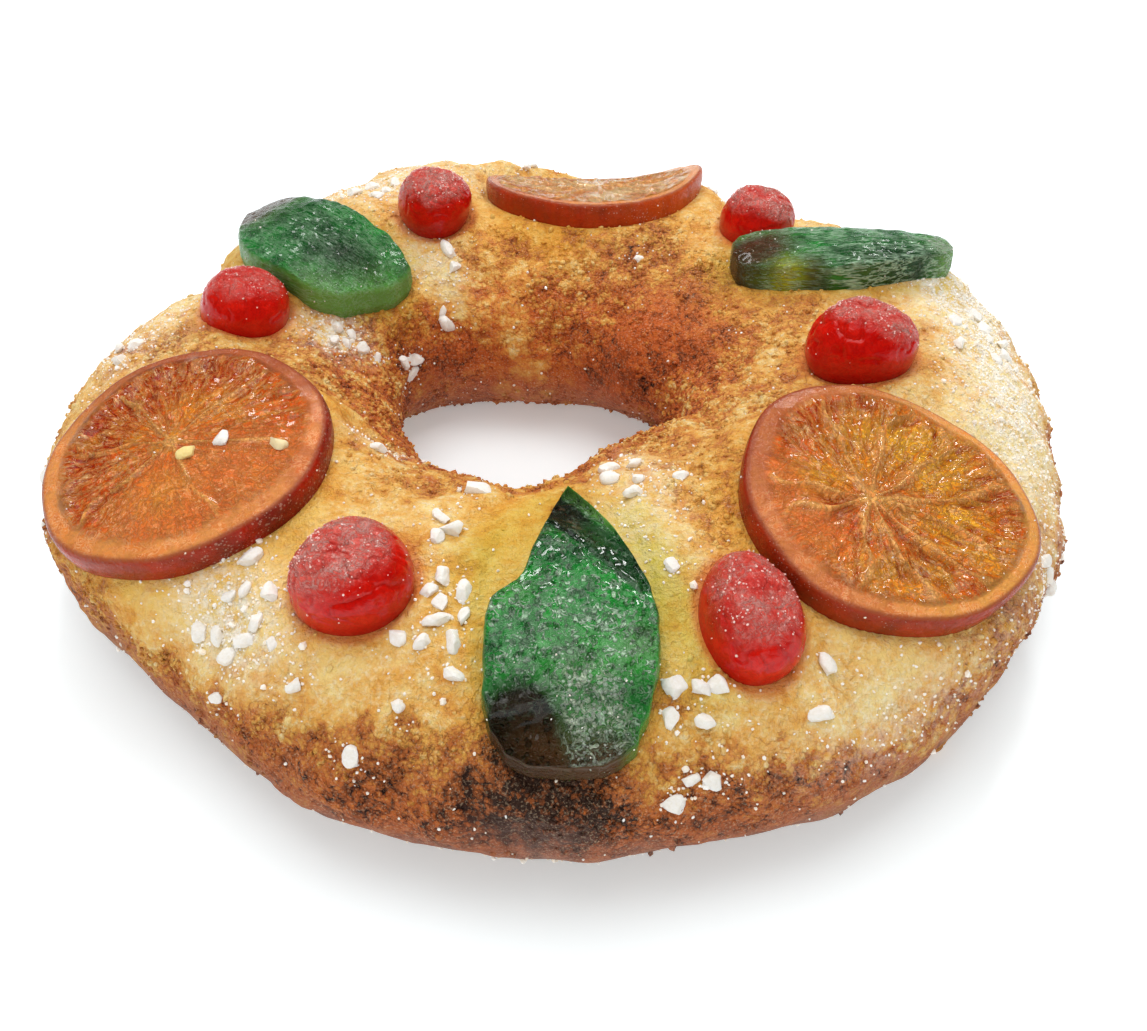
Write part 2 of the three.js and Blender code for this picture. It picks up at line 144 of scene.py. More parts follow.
# How dark the crust is baked from the outer foot to the inner foot: 0 is pale and 1 is burnt.
BAKE_SHARES = [0, 0.05, 0.12, 0.2, 0.26, 0.32, 0.4, 0.5, 0.58, 0.66, 0.72, 0.8, 0.88, 0.95, 1]
BAKE_LEVELS = [0.66, 0.64, 0.6, 0.5, 0.38, 0.27, 0.22, 0.27, 0.33, 0.46, 0.54, 0.6, 0.6, 0.6, 0.66]
# Patches of the crust: (degrees, share, spread in degrees, spread in share, amount).
BAKE_PATCHES = [
    (269, 0.25, 5.2, 0.055, 0.74), (248, 0.24, 8, 0.03, 0.14), (262, 0.19, 12, 0.05, 0.14),
    (258, 0.28, 4, 0.03, 0.08), (283, 0.2, 7, 0.05, 0.2), (297, 0.22, 8, 0.03, 0.14),
    # The darker patch at 30 degrees and share 0.79 is painted shade in the crease there.
    (16, 0.68, 9, 0.04, 0.12), (30, 0.79, 10, 0.05, 0.18), (64, 0.8, 16, 0.05, 0.12),
    (143, 0.78, 10, 0.05, 0.12), (34, 0.63, 8, 0.05, 0.2), (68, 0.58, 16, 0.05, 0.12),
    (114, 0.71, 8, 0.05, -0.1), (182, 0.48, 8, 0.05, 0.2), (320, 0.22, 6, 0.04, 0.06),
    (223, 0.28, 7, 0.03, -0.2), (228, 0.36, 10, 0.05, -0.22), (240, 0.34, 8, 0.04, -0.1),
    (231, 0.43, 6, 0.05, -0.1), (176, 0.4, 9, 0.07, -0.06), (209, 0.65, 8, 0.05, -0.22),
    (0, 0.36, 16, 0.06, -0.16), (14, 0.36, 6, 0.05, -0.16), (346, 0.31, 8, 0.05, -0.12),
    (300, 0.29, 8, 0.04, -0.16), (306, 0.24, 5, 0.03, -0.2), (286, 0.53, 5, 0.06, -0.2),
    (100, 0.84, 14, 0.05, -0.1), (31, 0.82, 8, 0.04, -0.08), (165, 0.76, 14, 0.05, -0.07),
    (233, 0.56, 5, 0.04, 0.07), (293, 0.5, 4, 0.04, 0.09), (337, 0.6, 7, 0.04, 0.09),
    (5, 0.6, 9, 0.04, 0.06), (259, 0.42, 4, 0.04, 0.06), (16, 0.69, 6, 0.04, 0.08),
    (45, 0.69, 8, 0.04, 0.1), (65, 0.57, 6, 0.04, 0.12), (132, 0.69, 7, 0.04, -0.1),
    (113, 0.71, 6, 0.04, -0.08), (143, 0.79, 8, 0.04, -0.06), (294, 0.6, 4, 0.04, -0.06),
    (344, 0.69, 6, 0.04, 0.06), (310, 0.57, 5, 0.04, 0.05), (179, 0.38, 5, 0.04, 0.08),
    (264, 0.57, 7, 0.04, -0.12), (128, 0.62, 5, 0.05, -0.22), (131, 0.68, 5, 0.04, -0.16),
    (166, 0.65, 4, 0.04, -0.2), (337, 0.28, 6, 0.04, -0.08), (301, 0.51, 4, 0.04, 0.05),
    (286, 0.29, 5, 0.03, 0.08), (313, 0.23, 5, 0.03, 0.07), (100, 0.84, 8, 0.05, -0.12),
    (230, 0.44, 5, 0.04, -0.07), (179, 0.38, 5, 0.04, 0.12), (264, 0.26, 3, 0.03, -0.12),
    (251, 0.21, 6, 0.04, 0.1), (1, 0.43, 8, 0.04, 0.1), (298, 0.22, 4, 0.03, 0.08),
    (207, 0.23, 5, 0.03, 0.08),
]
SYRUP_PATCHES = [
    (231, 0.44, 6, 0.06, 0.7), (221, 0.3, 5, 0.04, 0.6), (264, 0.56, 8, 0.04, 0.8),
    (101, 0.58, 9, 0.04, 0.7), (207, 0.64, 6, 0.04, 0.6), (89, 0.61, 6, 0.03, 0.6),
    (300, 0.5, 5, 0.05, 0.4), (246, 0.36, 5, 0.04, 0.4),
]
GREEN_PATCHES = [(286, 0.43, 3, 0.08, 0.8), (258, 0.5, 2.5, 0.05, 0.5), (33, 0.52, 5, 0.03, 0.6)]
SUGAR_PATCHES = [
    (230, 0.35, 7, 0.04, 0.45), (2, 0.35, 16, 0.045, 0.7), (346, 0.31, 8, 0.05, 0.45),
    (174, 0.39, 8, 0.05, 0.4), (128, 0.62, 5, 0.04, 0.4), (120, 0.4, 10, 0.06, 0.5),
    (234, 0.33, 4, 0.03, 0.6), (13, 0.355, 6, 0.04, 0.9), (166, 0.66, 5, 0.035, 1.0),
    (12, 0.35, 12, 0.04, 0.6), (217, 0.67, 4, 0.03, 0.7), (294, 0.6, 4, 0.04, 0.3),
    (304, 0.24, 8, 0.03, 0.35), (330, 0.24, 10, 0.03, 0.3), (286, 0.53, 5, 0.05, 0.3),
]
SMOOTH_PATCHES = [
    (40, 0.72, 10, 0.06, 0.9), (70, 0.86, 40, 0.06, 0.9), (120, 0.86, 20, 0.06, 0.7),
    (260, 0.1, 70, 0.06, 0.4), (20, 0.64, 9, 0.05, 0.6),
]

# Orange slices: the middle of their segments, how thick their membranes are, how deep the flesh shrinks
# beside these and sinks as a whole, where the peel is wider, and each membrane's direction at the middle
# and at the peel, in degrees. Spots: (along, across, spread, amount). Sides of the peel: (direction in
# degrees, amount).
SLICE_LOOKS = {
    "orange_slice_left": dict(
        centre=(-1.3, 0.8),
        wall=0.35,
        groove=0.3,
        depth=0.3,
        wide=[(-50, 0.7), (140, 0.6), (-150, 1.2)],
        glaze=0.0,
        orange=0.0,
        amber=(180, 0.3),
        membranes=[(97, 95), (140, 142), (195, 192), (262, 267), (318, 322), (20, 18)],
        dark=[(12, 19, 6, 0.9), (1.5, 22, 5, 0.8), (19, 13, 5, 0.7), (-6, 22, 5, 0.8), (-7, 15, 4, 0.6),
              (-16, 15, 5, 0.8), (-20, 8, 5, 0.8), (-20, -5, 4, 0.5), (23, -5, 4, 0.4)],
        glint=[(6, 8, 4, 0.4), (-6, 8, 3, 0.3), (12, 4, 4, 0.3), (-8, -10, 4, 0.3)],
        calm=[(-2, -19, 9, 1), (-7.5, -14, 7, 1), (8, -15, 8, 0.9), (-16, -16, 7, 0.8), (14, -17, 6, 0.9)],
        pale=(190, 0.45),
        browned=(55, 0.8),
        frosted=(-55, 1.0),
        seed=11,
    ),
    "orange_slice_right": dict(
        centre=(-1.9, -4.6),
        wall=0.7,
        groove=0.9,
        depth=0.7,
        wide=[(-130, 1.4), (-40, 0.2), (160, 0.2)],
        glaze=0.0,
        orange=0.0,
        amber=(-60, 0.25),
        membranes=[(156, 143), (119, 108), (66, 86), (39, 52), (32, 16), (345, 358), (320, 330), (280, 303),
                   (243, 234), (216, 209)],
        dark=[(-22, 7, 4, 0.8), (-24, -1, 4, 0.7), (-16, 16, 3.5, 0.8), (-8, 20, 2.5, 0.4), (4, 24, 3, 0.5),
              (10, 21, 4, 0.3), (17, 16, 3.5, 0.6), (20, 10, 3.5, 0.6), (-6, -10.4, 2, 0.8), (23, -8, 3, 0.6),
              (13, -9, 3, 0.4)],
        glint=[(-0.5, 18, 3, 1), (-0.7, 11, 4, 0.9), (-11, -7, 3, 0.9), (-14, 6, 4, 0.7), (15, -13.5, 4, 0.8),
               (6.7, -18, 3, 0.8), (12.4, -0.5, 4, 0.6), (23, -1, 2.5, 0.5), (-7, 0, 3, 0.6),
               (-10, 12, 3, 0.5), (-6, 17, 6, 0.6), (9, 9, 6, 0.6), (3, 19, 5, 0.5), (18, 4, 5, 0.5)],
        calm=[(-7, -18, 5, 0.9), (-13, -16, 5, 0.8), (-4, -22, 4, 0.7), (-19, -11, 4, 0.7)],
        pale=(40, 0.95),
        browned=(170, 0.5),
        frosted=(-90, 0.1),
        seed=12,
    ),
    "orange_slice_back": dict(
        centre=(1.5, -0.8),
        wall=0.5,
        groove=0.4,
        depth=0.4,
        wide=[(90, 0.8)],
        glaze=0.75,
        orange=0.35,
        amber=(10, 0.7),
        membranes=[(12, 12), (52, 48), (90, 92), (128, 126), (160, 165), (204, 200), (240, 236), (275, 278),
                   (318, 322)],
        dark=[(15, 12, 5, 0.7), (-12, 14, 5, 0.7), (-18, -6, 5, 0.6), (10, -14, 5, 0.6)],
        glint=[(5, 5, 4, 0.5), (-8, -4, 4, 0.5), (14, -4, 4, 0.4)],
        calm=[(0, -8, 6, 0.5), (20, 0, 6, 0.5)],
        pale=(0, 0.5),
        browned=(180, 0.4),
        frosted=(-30, 0.4),
        seed=13,
    ),
}
# Sugar frost on each cherry: how much, and the side that it lies towards. Its film also carries a painted
# sheen on that side.
CHERRY_FROST = {
    "cherry_front_left": (0.85, (-0.2, 0.3, 0.9)),
    "cherry_front_right": (0.6, (0.0, 0.35, 0.93)),
    "cherry_right": (0.9, (0.35, 0.45, 0.8)),
    "cherry_back_right": (1.0, (0.1, 0.1, 1.0)),
    "cherry_back_left": (0.95, (0.0, 0.2, 0.97)),
    "cherry_left": (0.42, (0.0, 0.3, 0.95)),
}


def linear(red, green, blue):
    """A colour given as 0 to 255 in each channel, as Blender's linear colour."""
    shares = [value / 255 for value in (red, green, blue)]
    return tuple(v / 12.92 if v <= 0.04045 else ((v + 0.055) / 1.055) ** 2.4 for v in shares)


def colour_property(name, description, *channels):
    return bpy.props.FloatVectorProperty(
        name=name, description=description, default=linear(*channels), subtype="COLOR", size=3, min=0, max=1
    )


def length_property(name, description, default):
    return bpy.props.FloatProperty(
        name=name, description=description, default=default, unit="LENGTH", min=0, precision=4
    )


class KingCakeDough(bpy.types.PropertyGroup):
    """Sizes and colours of the dough."""

    lump_height: length_property("Lump height", "Height of the broad lumps of the crust", 0.0006)
    clump_height: length_property("Clump height", "Height of the clumps of crumbs", 0.0013)
    grain_height: length_property("Grain height", "Height of the single crumbs", 0.0009)
    pale: colour_property("Pale crust", "Crust that the oven hardly coloured", 246, 218, 144)
    golden: colour_property("Golden crust", "Evenly baked crust", 234, 172, 80)
    brown: colour_property("Brown crust", "Well baked crust", 200, 112, 54)
    burnt: colour_property("Burnt crust", "Crust that is nearly burnt", 58, 32, 24)
    foot: colour_property("Foot", "Smooth skin at the foot of the ring", 156, 112, 98)
    syrup: colour_property("Syrup stain", "Dough soaked with syrup", 248, 202, 70)
    green: colour_property("Green stain", "Dough stained by the green rind", 200, 206, 60)
    red: colour_property("Red stain", "Dough stained by the cherries", 222, 104, 48)
    warm: colour_property("Warm tint", "Tint of the crust on the walls of the ring", 255, 216, 184)
    speckle: colour_property("Speckle", "Fine sugar baked into the crust", 234, 204, 166)


class KingCakeFruit(bpy.types.PropertyGroup):
    """Colours of the candied fruit."""

    pulp: colour_property("Orange pulp", "Flesh of the orange slices", 240, 98, 14)
    # Dark pulp: streaks and dark spots of the flesh, and painted shade in the shrunken grooves beside the
    # membranes.
    pulp_dark: colour_property("Dark pulp", "Hollows of the flesh", 152, 26, 4)
    # Pale fibres of the pulp, and the colour of the painted highlights along its swirls.
    pulp_light_and_highlight: colour_property("Light pulp", "Raised fibres of the flesh", 248, 170, 92)
    # Bright juice in the pools of the pulp, and the colour of the painted glints at the listed glint spots.
    pulp_bright_and_glint: colour_property("Bright pulp", "Bright juice in the flesh", 250, 180, 44)
    membrane: colour_property("Membrane", "Walls between the segments", 250, 182, 100)
    peel: colour_property("Peel", "Peel of the orange slices", 190, 108, 56)
    peel_pale: colour_property("Pale peel", "Thin and yellow parts of the peel", 220, 154, 74)
    peel_edge: colour_property("Edge of the peel", "Dark line round the peel", 146, 66, 46)
    peel_side: colour_property("Side of the peel", "Outer skin of the orange slices", 170, 28, 4)
    side_light: colour_property("Light side", "Thin and bright parts of the outer skin", 204, 88, 26)
    side_dark: colour_property("Dark side", "Deepest red of the outer skin", 108, 18, 8)
    # Also the colour of the painted glints on the pulp, of the painted highlights on the peel and of the
    # painted gloss on the back slice.
    glaze: colour_property("Glaze", "Dried syrup on the flesh", 246, 206, 150)
    cherry: colour_property("Cherry", "Flesh of the cherries", 192, 12, 6)
    cherry_light: colour_property("Light cherry", "Thin parts of the cherries", 216, 30, 14)
    # Painted shade: the creases and the underside of each cherry are darkened with this colour.
    cherry_shade: colour_property("Deep cherry", "Creases and undersides of the cherries", 132, 4, 4)
    # Also a painted sheen on the frosted upper side.
    cherry_film_and_sheen: colour_property("Cherry film", "Cherry under a film of sugar", 234, 124, 108)
    cherry_frost: colour_property("Cherry frost", "Sugar grains stained by a cherry", 248, 192, 182)
    rind: colour_property("Green rind", "Flesh of the green rind", 8, 96, 34)
    rind_bright: colour_property("Bright rind", "Bright parts of the green rind", 26, 148, 48)
    # Also paints shade into the bubble hollows and the sunken blunt end of the front rind.
    rind_dark: colour_property("Dark rind", "Darkest parts of the green rind", 6, 14, 6)
    rind_light: colour_property("Light rind", "Thin parts of the green rind", 108, 164, 70)
    # Also the colour of the painted highlights on the bubble rings, the pale streaks and the crumpled lines.
    rind_film_and_highlight: colour_property("Rind film", "Green rind under a film of sugar", 206, 240, 204)
    rind_brown: colour_property("Brown rind", "Dried ends of the green rind", 78, 50, 24)
    rind_yellow: colour_property("Yellow rind", "Yellow hollow of the green rind", 170, 176, 40)


class KingCakeSugar(bpy.types.PropertyGroup):
    """Sizes, numbers and colour of the sugar."""

    crystal: length_property("Crystal size", "Middling size of a sugar crystal", 0.0006)
    crystals: bpy.props.IntProperty(
        name="Crystals", description="How many sugar crystals lie on the dough", default=8000, min=1
    )
    crumb: length_property("Crumb size", "Middling size of a crumb of crust", 0.0010)
    crumbs: bpy.props.IntProperty(
        name="Crumbs", description="How many crumbs stick to the dough", default=8000, min=1
    )
    white: colour_property("Sugar", "Colour of the pearl sugar", 246, 243, 238)


class KingCakeStage(bpy.types.PropertyGroup):
    """Floor, light and camera."""

    floor: colour_property("Floor", "Colour of the floor", 244, 250, 252)
    floor_glow: bpy.props.FloatProperty(
        name="Floor glow", description="Light that shines through the floor", default=0.27, min=0
    )
    lamp_power: bpy.props.FloatProperty(
        name="Lamp power", description="Power of the lamp above the cake, in watts", default=2.95, min=0
    )
    glint_power: bpy.props.FloatProperty(
        name="Glint power", description="Power of each small lamp behind the cake, in watts", default=1.0,
        min=0,
    )
    fill_power: bpy.props.FloatProperty(
        name="Fill power", description="Power of the broad lamp in front of the cake, in watts", default=1.3,
        min=0,
    )
    sky: bpy.props.FloatProperty(
        name="Sky", description="Strength of the light from all round", default=0.6, min=0
    )
    focal_length: bpy.props.FloatProperty(
        name="Focal length", description="Focal length of the camera in millimetres", default=36.09, min=1
    )


# Numbers that the forms are made from.


def smooth_step(low, high, value):
    share = np.clip((value - low) / (high - low), 0, 1)
    return share * share * (3 - 2 * share)


def seeded(seed):
    """A repeatable random number from 0 to 1, the same each run."""
    state = seed
    while True:
        state = (state * 1664525 + 1013904223) % 4294967296
        yield state / 4294967296


def lattice(cells, seed):
    """A repeatable number from 0 to 1 for each whole-numbered cell."""
    mixed = cells[..., 0] * 73856093 ^ cells[..., 1] * 19349663 ^ cells[..., 2] * 83492791 ^ seed * 7919
    mixed = (mixed ^ (mixed >> 13)) & 0x7FFFFFFF
    mixed = (mixed * 1103515245 + 12345) & 0x7FFFFFFF
    mixed = ((mixed ^ (mixed >> 11)) * 69069 + 5) & 0x7FFFFFFF
    return (mixed >> 7) / float(0x7FFFFFFF >> 7)


def noise(points, size, seed):
    """Smooth random values from -1 to 1 that change over about that size."""
    scaled = points / size
    base = np.floor(scaled).astype(np.int64)
    share = scaled - base
    share = share * share * (3 - 2 * share)
    total = 0
    for corner in itertools.product((0, 1), repeat=3):
        weight = np.prod(np.where(corner, share, 1 - share), axis=-1)
        total = total + weight * lattice(base + np.array(corner), seed)
    return total * 2 - 1


def rough(points, size, seed, layers=2):
    """Several layers of noise, each half the size and height of the one before."""
    return sum(noise(points, size / 2**i, seed + i) / 2**i for i in range(layers))


def granules(points, size, seed):
    """Rounded bumps of about that size with creases between them: 1 at a bump's middle, 0 in a crease."""
    scaled = points / size
    base = np.floor(scaled).astype(np.int64)
    nearest = np.full(points.shape[:-1], 9.0)
    for corner in itertools.product((-1, 0, 1), repeat=3):
        cell = base + np.array(corner)
        middle = cell + np.stack([lattice(cell, seed + i) for i in range(3)], axis=-1)
        nearest = np.minimum(nearest, ((scaled - middle) ** 2).sum(axis=-1))
    return 1 - np.clip(nearest, 0, 1)


def patches(listed, degrees, share):
    """The sum of soft patches at places of the ring."""
    total = 0
    for centre, across, spread, width, amount in listed:
        away = (degrees - centre + 180) % 360 - 180
        total = total + amount * np.exp(-((away / spread) ** 2 + ((share - across) / width) ** 2) / 2)
    return total


def spots(listed, x, y):
    """The sum of soft round spots at places of a slice."""
    return sum(h * np.exp(-((x - a) ** 2 + (y - b) ** 2) / (2 * s * s)) for a, b, s, h in listed)


# The crust.


def waves(listed, angle):
    return sum(c * np.cos(n * angle) + s * np.sin(n * angle) for n, c, s in listed)


def outer_radius(angle):
    radius = OUTER_RADIUS + waves(OUTER_WAVES, angle)
    for degrees, spread, height in OUTER_BULGES:
        away = ((np.degrees(angle) - degrees + 540) % 360 - 180) / spread
        radius = radius + height * np.exp(-(away**2) / 2)
    return radius


def inner_radius(angle):
    return HOLE_RADIUS + waves(HOLE_WAVES, angle)


def ring_point(angle, across):
    """A point of the plain ring."""
    turn = across * (math.pi + 2 * FOOT_ANGLE) - FOOT_ANGLE
    outer, inner = outer_radius(angle), inner_radius(angle)
    radius = inner + (outer - inner) * (1 + np.cos(turn)) / 2
    height = WAIST_HEIGHT + (CREST_HEIGHT - WAIST_HEIGHT) * np.sin(turn)
    parts = (radius * np.cos(angle), radius * np.sin(angle), np.maximum(height, 0))
    return np.stack(np.broadcast_arrays(*parts), axis=-1)


def ring_normal(angle, across):
    step = 0.002
    along = ring_point(angle + step, across) - ring_point(angle - step, across)
    over = ring_point(angle, across + step) - ring_point(angle, across - step)
    return unit(np.cross(along, over))


def unit(vectors):
    return vectors / np.maximum(np.linalg.norm(vectors, axis=-1, keepdims=True), 1e-12)


def seat(piece):
    """The place of a piece of fruit on the ring, as a matrix: z out of the dough, x along its heading."""
    x, y = piece["at"]
    angle = math.atan2(y, x)
    outer, inner = outer_radius(angle), inner_radius(angle)
    turn = math.acos(2 * (math.hypot(x, y) - inner) / (outer - inner) - 1)
    across = (turn + FOOT_ANGLE) / (math.pi + 2 * FOOT_ANGLE)
    out = ring_normal(angle, across)
    heading = math.radians(piece.get("heading", 0))
    ahead = np.array([math.cos(heading), math.sin(heading), 0])
    ahead = unit(ahead - out * (ahead @ out))
    place = np.eye(4)
    place[:3, 0] = ahead
    place[:3, 1] = np.cross(out, ahead)
    place[:3, 2] = out
    place[:3, 3] = ring_point(angle, across) - out * piece["sink"]
    lean_x, lean_y = (math.radians(value) for value in piece.get("lean", (0, 0)))
    return place @ np.array(Matrix.Rotation(lean_x, 4, "X") @ Matrix.Rotation(lean_y, 4, "Y"))


def moved(points, matrix):
    return points @ matrix[:3, :3].T + matrix[:3, 3]


def bend(piece, x, y):
    """How far a flat piece's middle surface is lifted."""
    half_x, half_y = piece["half"]
    bend_x, bend_y = piece["bend"]
    degrees, height = piece.get("curl", (0, 0))
    side = x / half_x * math.cos(math.radians(degrees)) + y / half_y * math.sin(math.radians(degrees))
    return bend_x * (x / half_x) ** 2 + bend_y * (y / half_y) ** 2 + height * np.maximum(0, side) ** 3


def press(points):
    """Presses the dough to the bed of each slice and rind that lies over it."""
    for piece in FLAT_FRUIT:
        local = moved(points, np.linalg.inv(piece["place"]))
        x, y, z = local[..., 0], local[..., 1], local[..., 2]
        reach = np.hypot(x / piece["half"][0], y / piece["half"][1])
        share = (1 - smooth_step(0.9, 1.35, reach)) * smooth_step(-20, -10, z)
        local[..., 2] = z + (piece["bed"] + bend(piece, x, y) - z) * share
        points = np.where(share[..., None] > 0, moved(local, piece["place"]), points)
    return points


def swell(points):
    """Shallow unevenness of the crust."""
    x, y, z = points[..., 0], points[..., 1], points[..., 2]
    broad = np.sin(x / 6.3 + 1.3 * np.sin(y / 9.1)) * np.sin(y / 5.7 + 1.1 * np.sin(x / 8.3))
    fine = np.sin(x / 3.1 + z / 4.7) * np.sin(y / 3.7 - z / 5.3)
    return SWELL_HEIGHT * (broad + 0.5 * fine)


def crust_point(angle, across):
    """A point of the finished crust."""
    point = ring_point(angle, across)
    free = smooth_step(0, FLAT_SHARE, across) * smooth_step(0, FLAT_SHARE, 1 - across)
    lift = swell(point)
    for degrees, share, spread, height in LUMPS:
        away = np.linalg.norm(point - ring_point(math.radians(degrees), share), axis=-1)
        lift = lift + height * np.exp(-(away**2) / (2 * spread**2))
    return press(point + ring_normal(angle, across) * (lift * free)[..., None])


def nearness(points, pieces, reach):
    """1 at the outline of a piece of fruit and under it, fading to 0 that far away."""
    near = np.zeros(points.shape[:-1])
    for piece in pieces:
        local = moved(points, np.linalg.inv(piece["place"]))
        half_x, half_y = piece["half"][:2]
        distance = (np.hypot(local[..., 0] / half_x, local[..., 1] / half_y) - 1) * min(half_x, half_y)
        near = np.maximum(near, 1 - smooth_step(0, reach, distance))
    return near


# Meshes.


def primitive(add, name, **settings):
    """Adds a primitive, alone selected, under a name of its own."""
    bpy.ops.object.select_all(action="DESELECT")
    add(**settings)
    made = bpy.context.active_object
    made.name = name
    made.data.name = name
    return made


def read_points(mesh):
    points = np.empty(len(mesh.vertices) * 3, np.float64)
    mesh.vertices.foreach_get("co", points)
    return points.reshape(-1, 3)


def read_normals(mesh):
    normals = np.empty(len(mesh.vertices) * 3, np.float32)
    mesh.vertex_normals.foreach_get("vector", normals)
    return normals.reshape(-1, 3).astype(np.float64)


def read_triangles(mesh):
    mesh.calc_loop_triangles()
    corners = np.empty(len(mesh.loop_triangles) * 3, np.int32)
    mesh.loop_triangles.foreach_get("vertices", corners)
    return corners.reshape(-1, 3)


def lay(made, points):
    """Lays a piece's vertices at points given in millimetres about the middle of the ring."""
    metres = (points.reshape(-1, 3) + CENTRE_SHIFT) * 0.001
    made.data.vertices.foreach_set("co", metres.astype(np.float32).ravel())
    made.data.update()


def give(made, name, values):
    """Gives a piece's vertices a number or a vector each."""
    kind, field = ("FLOAT", "value") if values.ndim == 1 else ("FLOAT_VECTOR", "vector")
    layer = made.data.attributes.new(name, kind, "POINT")
    layer.data.foreach_set(field, values.astype(np.float32).ravel())


def take(made, name):
    """The numbers that a piece's vertices were given."""
    values = np.empty(len(made.data.vertices), np.float32)
    made.data.attributes[name].data.foreach_get("value", values)
    return values


def smooth(made):
    bpy.ops.object.select_all(action="DESELECT")
    made.select_set(True)
    bpy.context.view_layer.objects.active = made
    bpy.ops.object.shade_smooth()


def dress(made, material, slot, *nodes):
    """Gives a finished piece its material and its place on the cake, and hides the solids that it stands for.
    """
    made.data.materials.clear()
    made.data.materials.append(material)
    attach(made, "root")
    if nodes:
        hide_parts(*nodes)


def turns(quaternions):
    """Rotation matrices of unit quaternions."""
    w, x, y, z = np.moveaxis(quaternions, -1, 0)
    rows = [
        [1 - 2 * (y * y + z * z), 2 * (x * y - w * z), 2 * (x * z + w * y)],
        [2 * (x * y + w * z), 1 - 2 * (x * x + z * z), 2 * (y * z - w * x)],
        [2 * (x * z - w * y), 2 * (y * z + w * x), 1 - 2 * (x * x + y * y)],
    ]
    return np.moveaxis(np.array(rows), -1, 0)


def places_on(made, density, count, random):
    """Random places on a piece, in millimetres about the ring's middle, with their normals and vertices."""
    points = read_points(made.data) * 1000 - CENTRE_SHIFT
    corners = read_triangles(made.data)
    a, b, c = (points[corners[:, i]] for i in range(3))
    weight = np.linalg.norm(np.cross(b - a, c - a), axis=1) * density[corners].mean(axis=1)
    chosen = random.choice(len(corners), count, p=weight / weight.sum())
    u, v = random.random((2, count, 1))
    over = u + v > 1
    u, v = np.where(over, 1 - u, u), np.where(over, 1 - v, v)
    place = a[chosen] * (1 - u - v) + b[chosen] * u + c[chosen] * v
    nearest = corners[chosen, 0]
    return place, read_normals(made.data)[nearest], nearest


def scatter(made, place, normal, size, stretch, lift, random):
    """Makes one piece of many copies of a small shape, each turned at random and set on a surface."""
    shape = unit(read_points(made.data))
    faces = read_triangles(made.data)
    count = len(place)
    turn = turns(unit(random.normal(size=(count, 4))))
    bits = shape[None] * random.uniform(*stretch, (count, len(shape), 1))
    bits = bits * random.uniform(0.7, 1.3, (count, 1, 3))
    bits = np.einsum("nij,nkj->nki", turn, bits) * size[:, None, None]
    bits = bits + (place + normal * (lift * size)[:, None])[:, None]
    bits[..., 2] = np.maximum(bits[..., 2], 0)
    corners = (faces[None] + (np.arange(count) * len(shape))[:, None, None]).reshape(-1, 3)
    mesh = bpy.data.meshes.new(made.name + "_bits")
    mesh.from_pydata(np.zeros((count * len(shape), 3)), [], corners.tolist())
    old = made.data
    made.data = mesh
    bpy.data.meshes.remove(old)
    mesh.name = made.name
    lay(made, bits)
    return np.repeat(np.arange(count), len(shape))


# Materials.


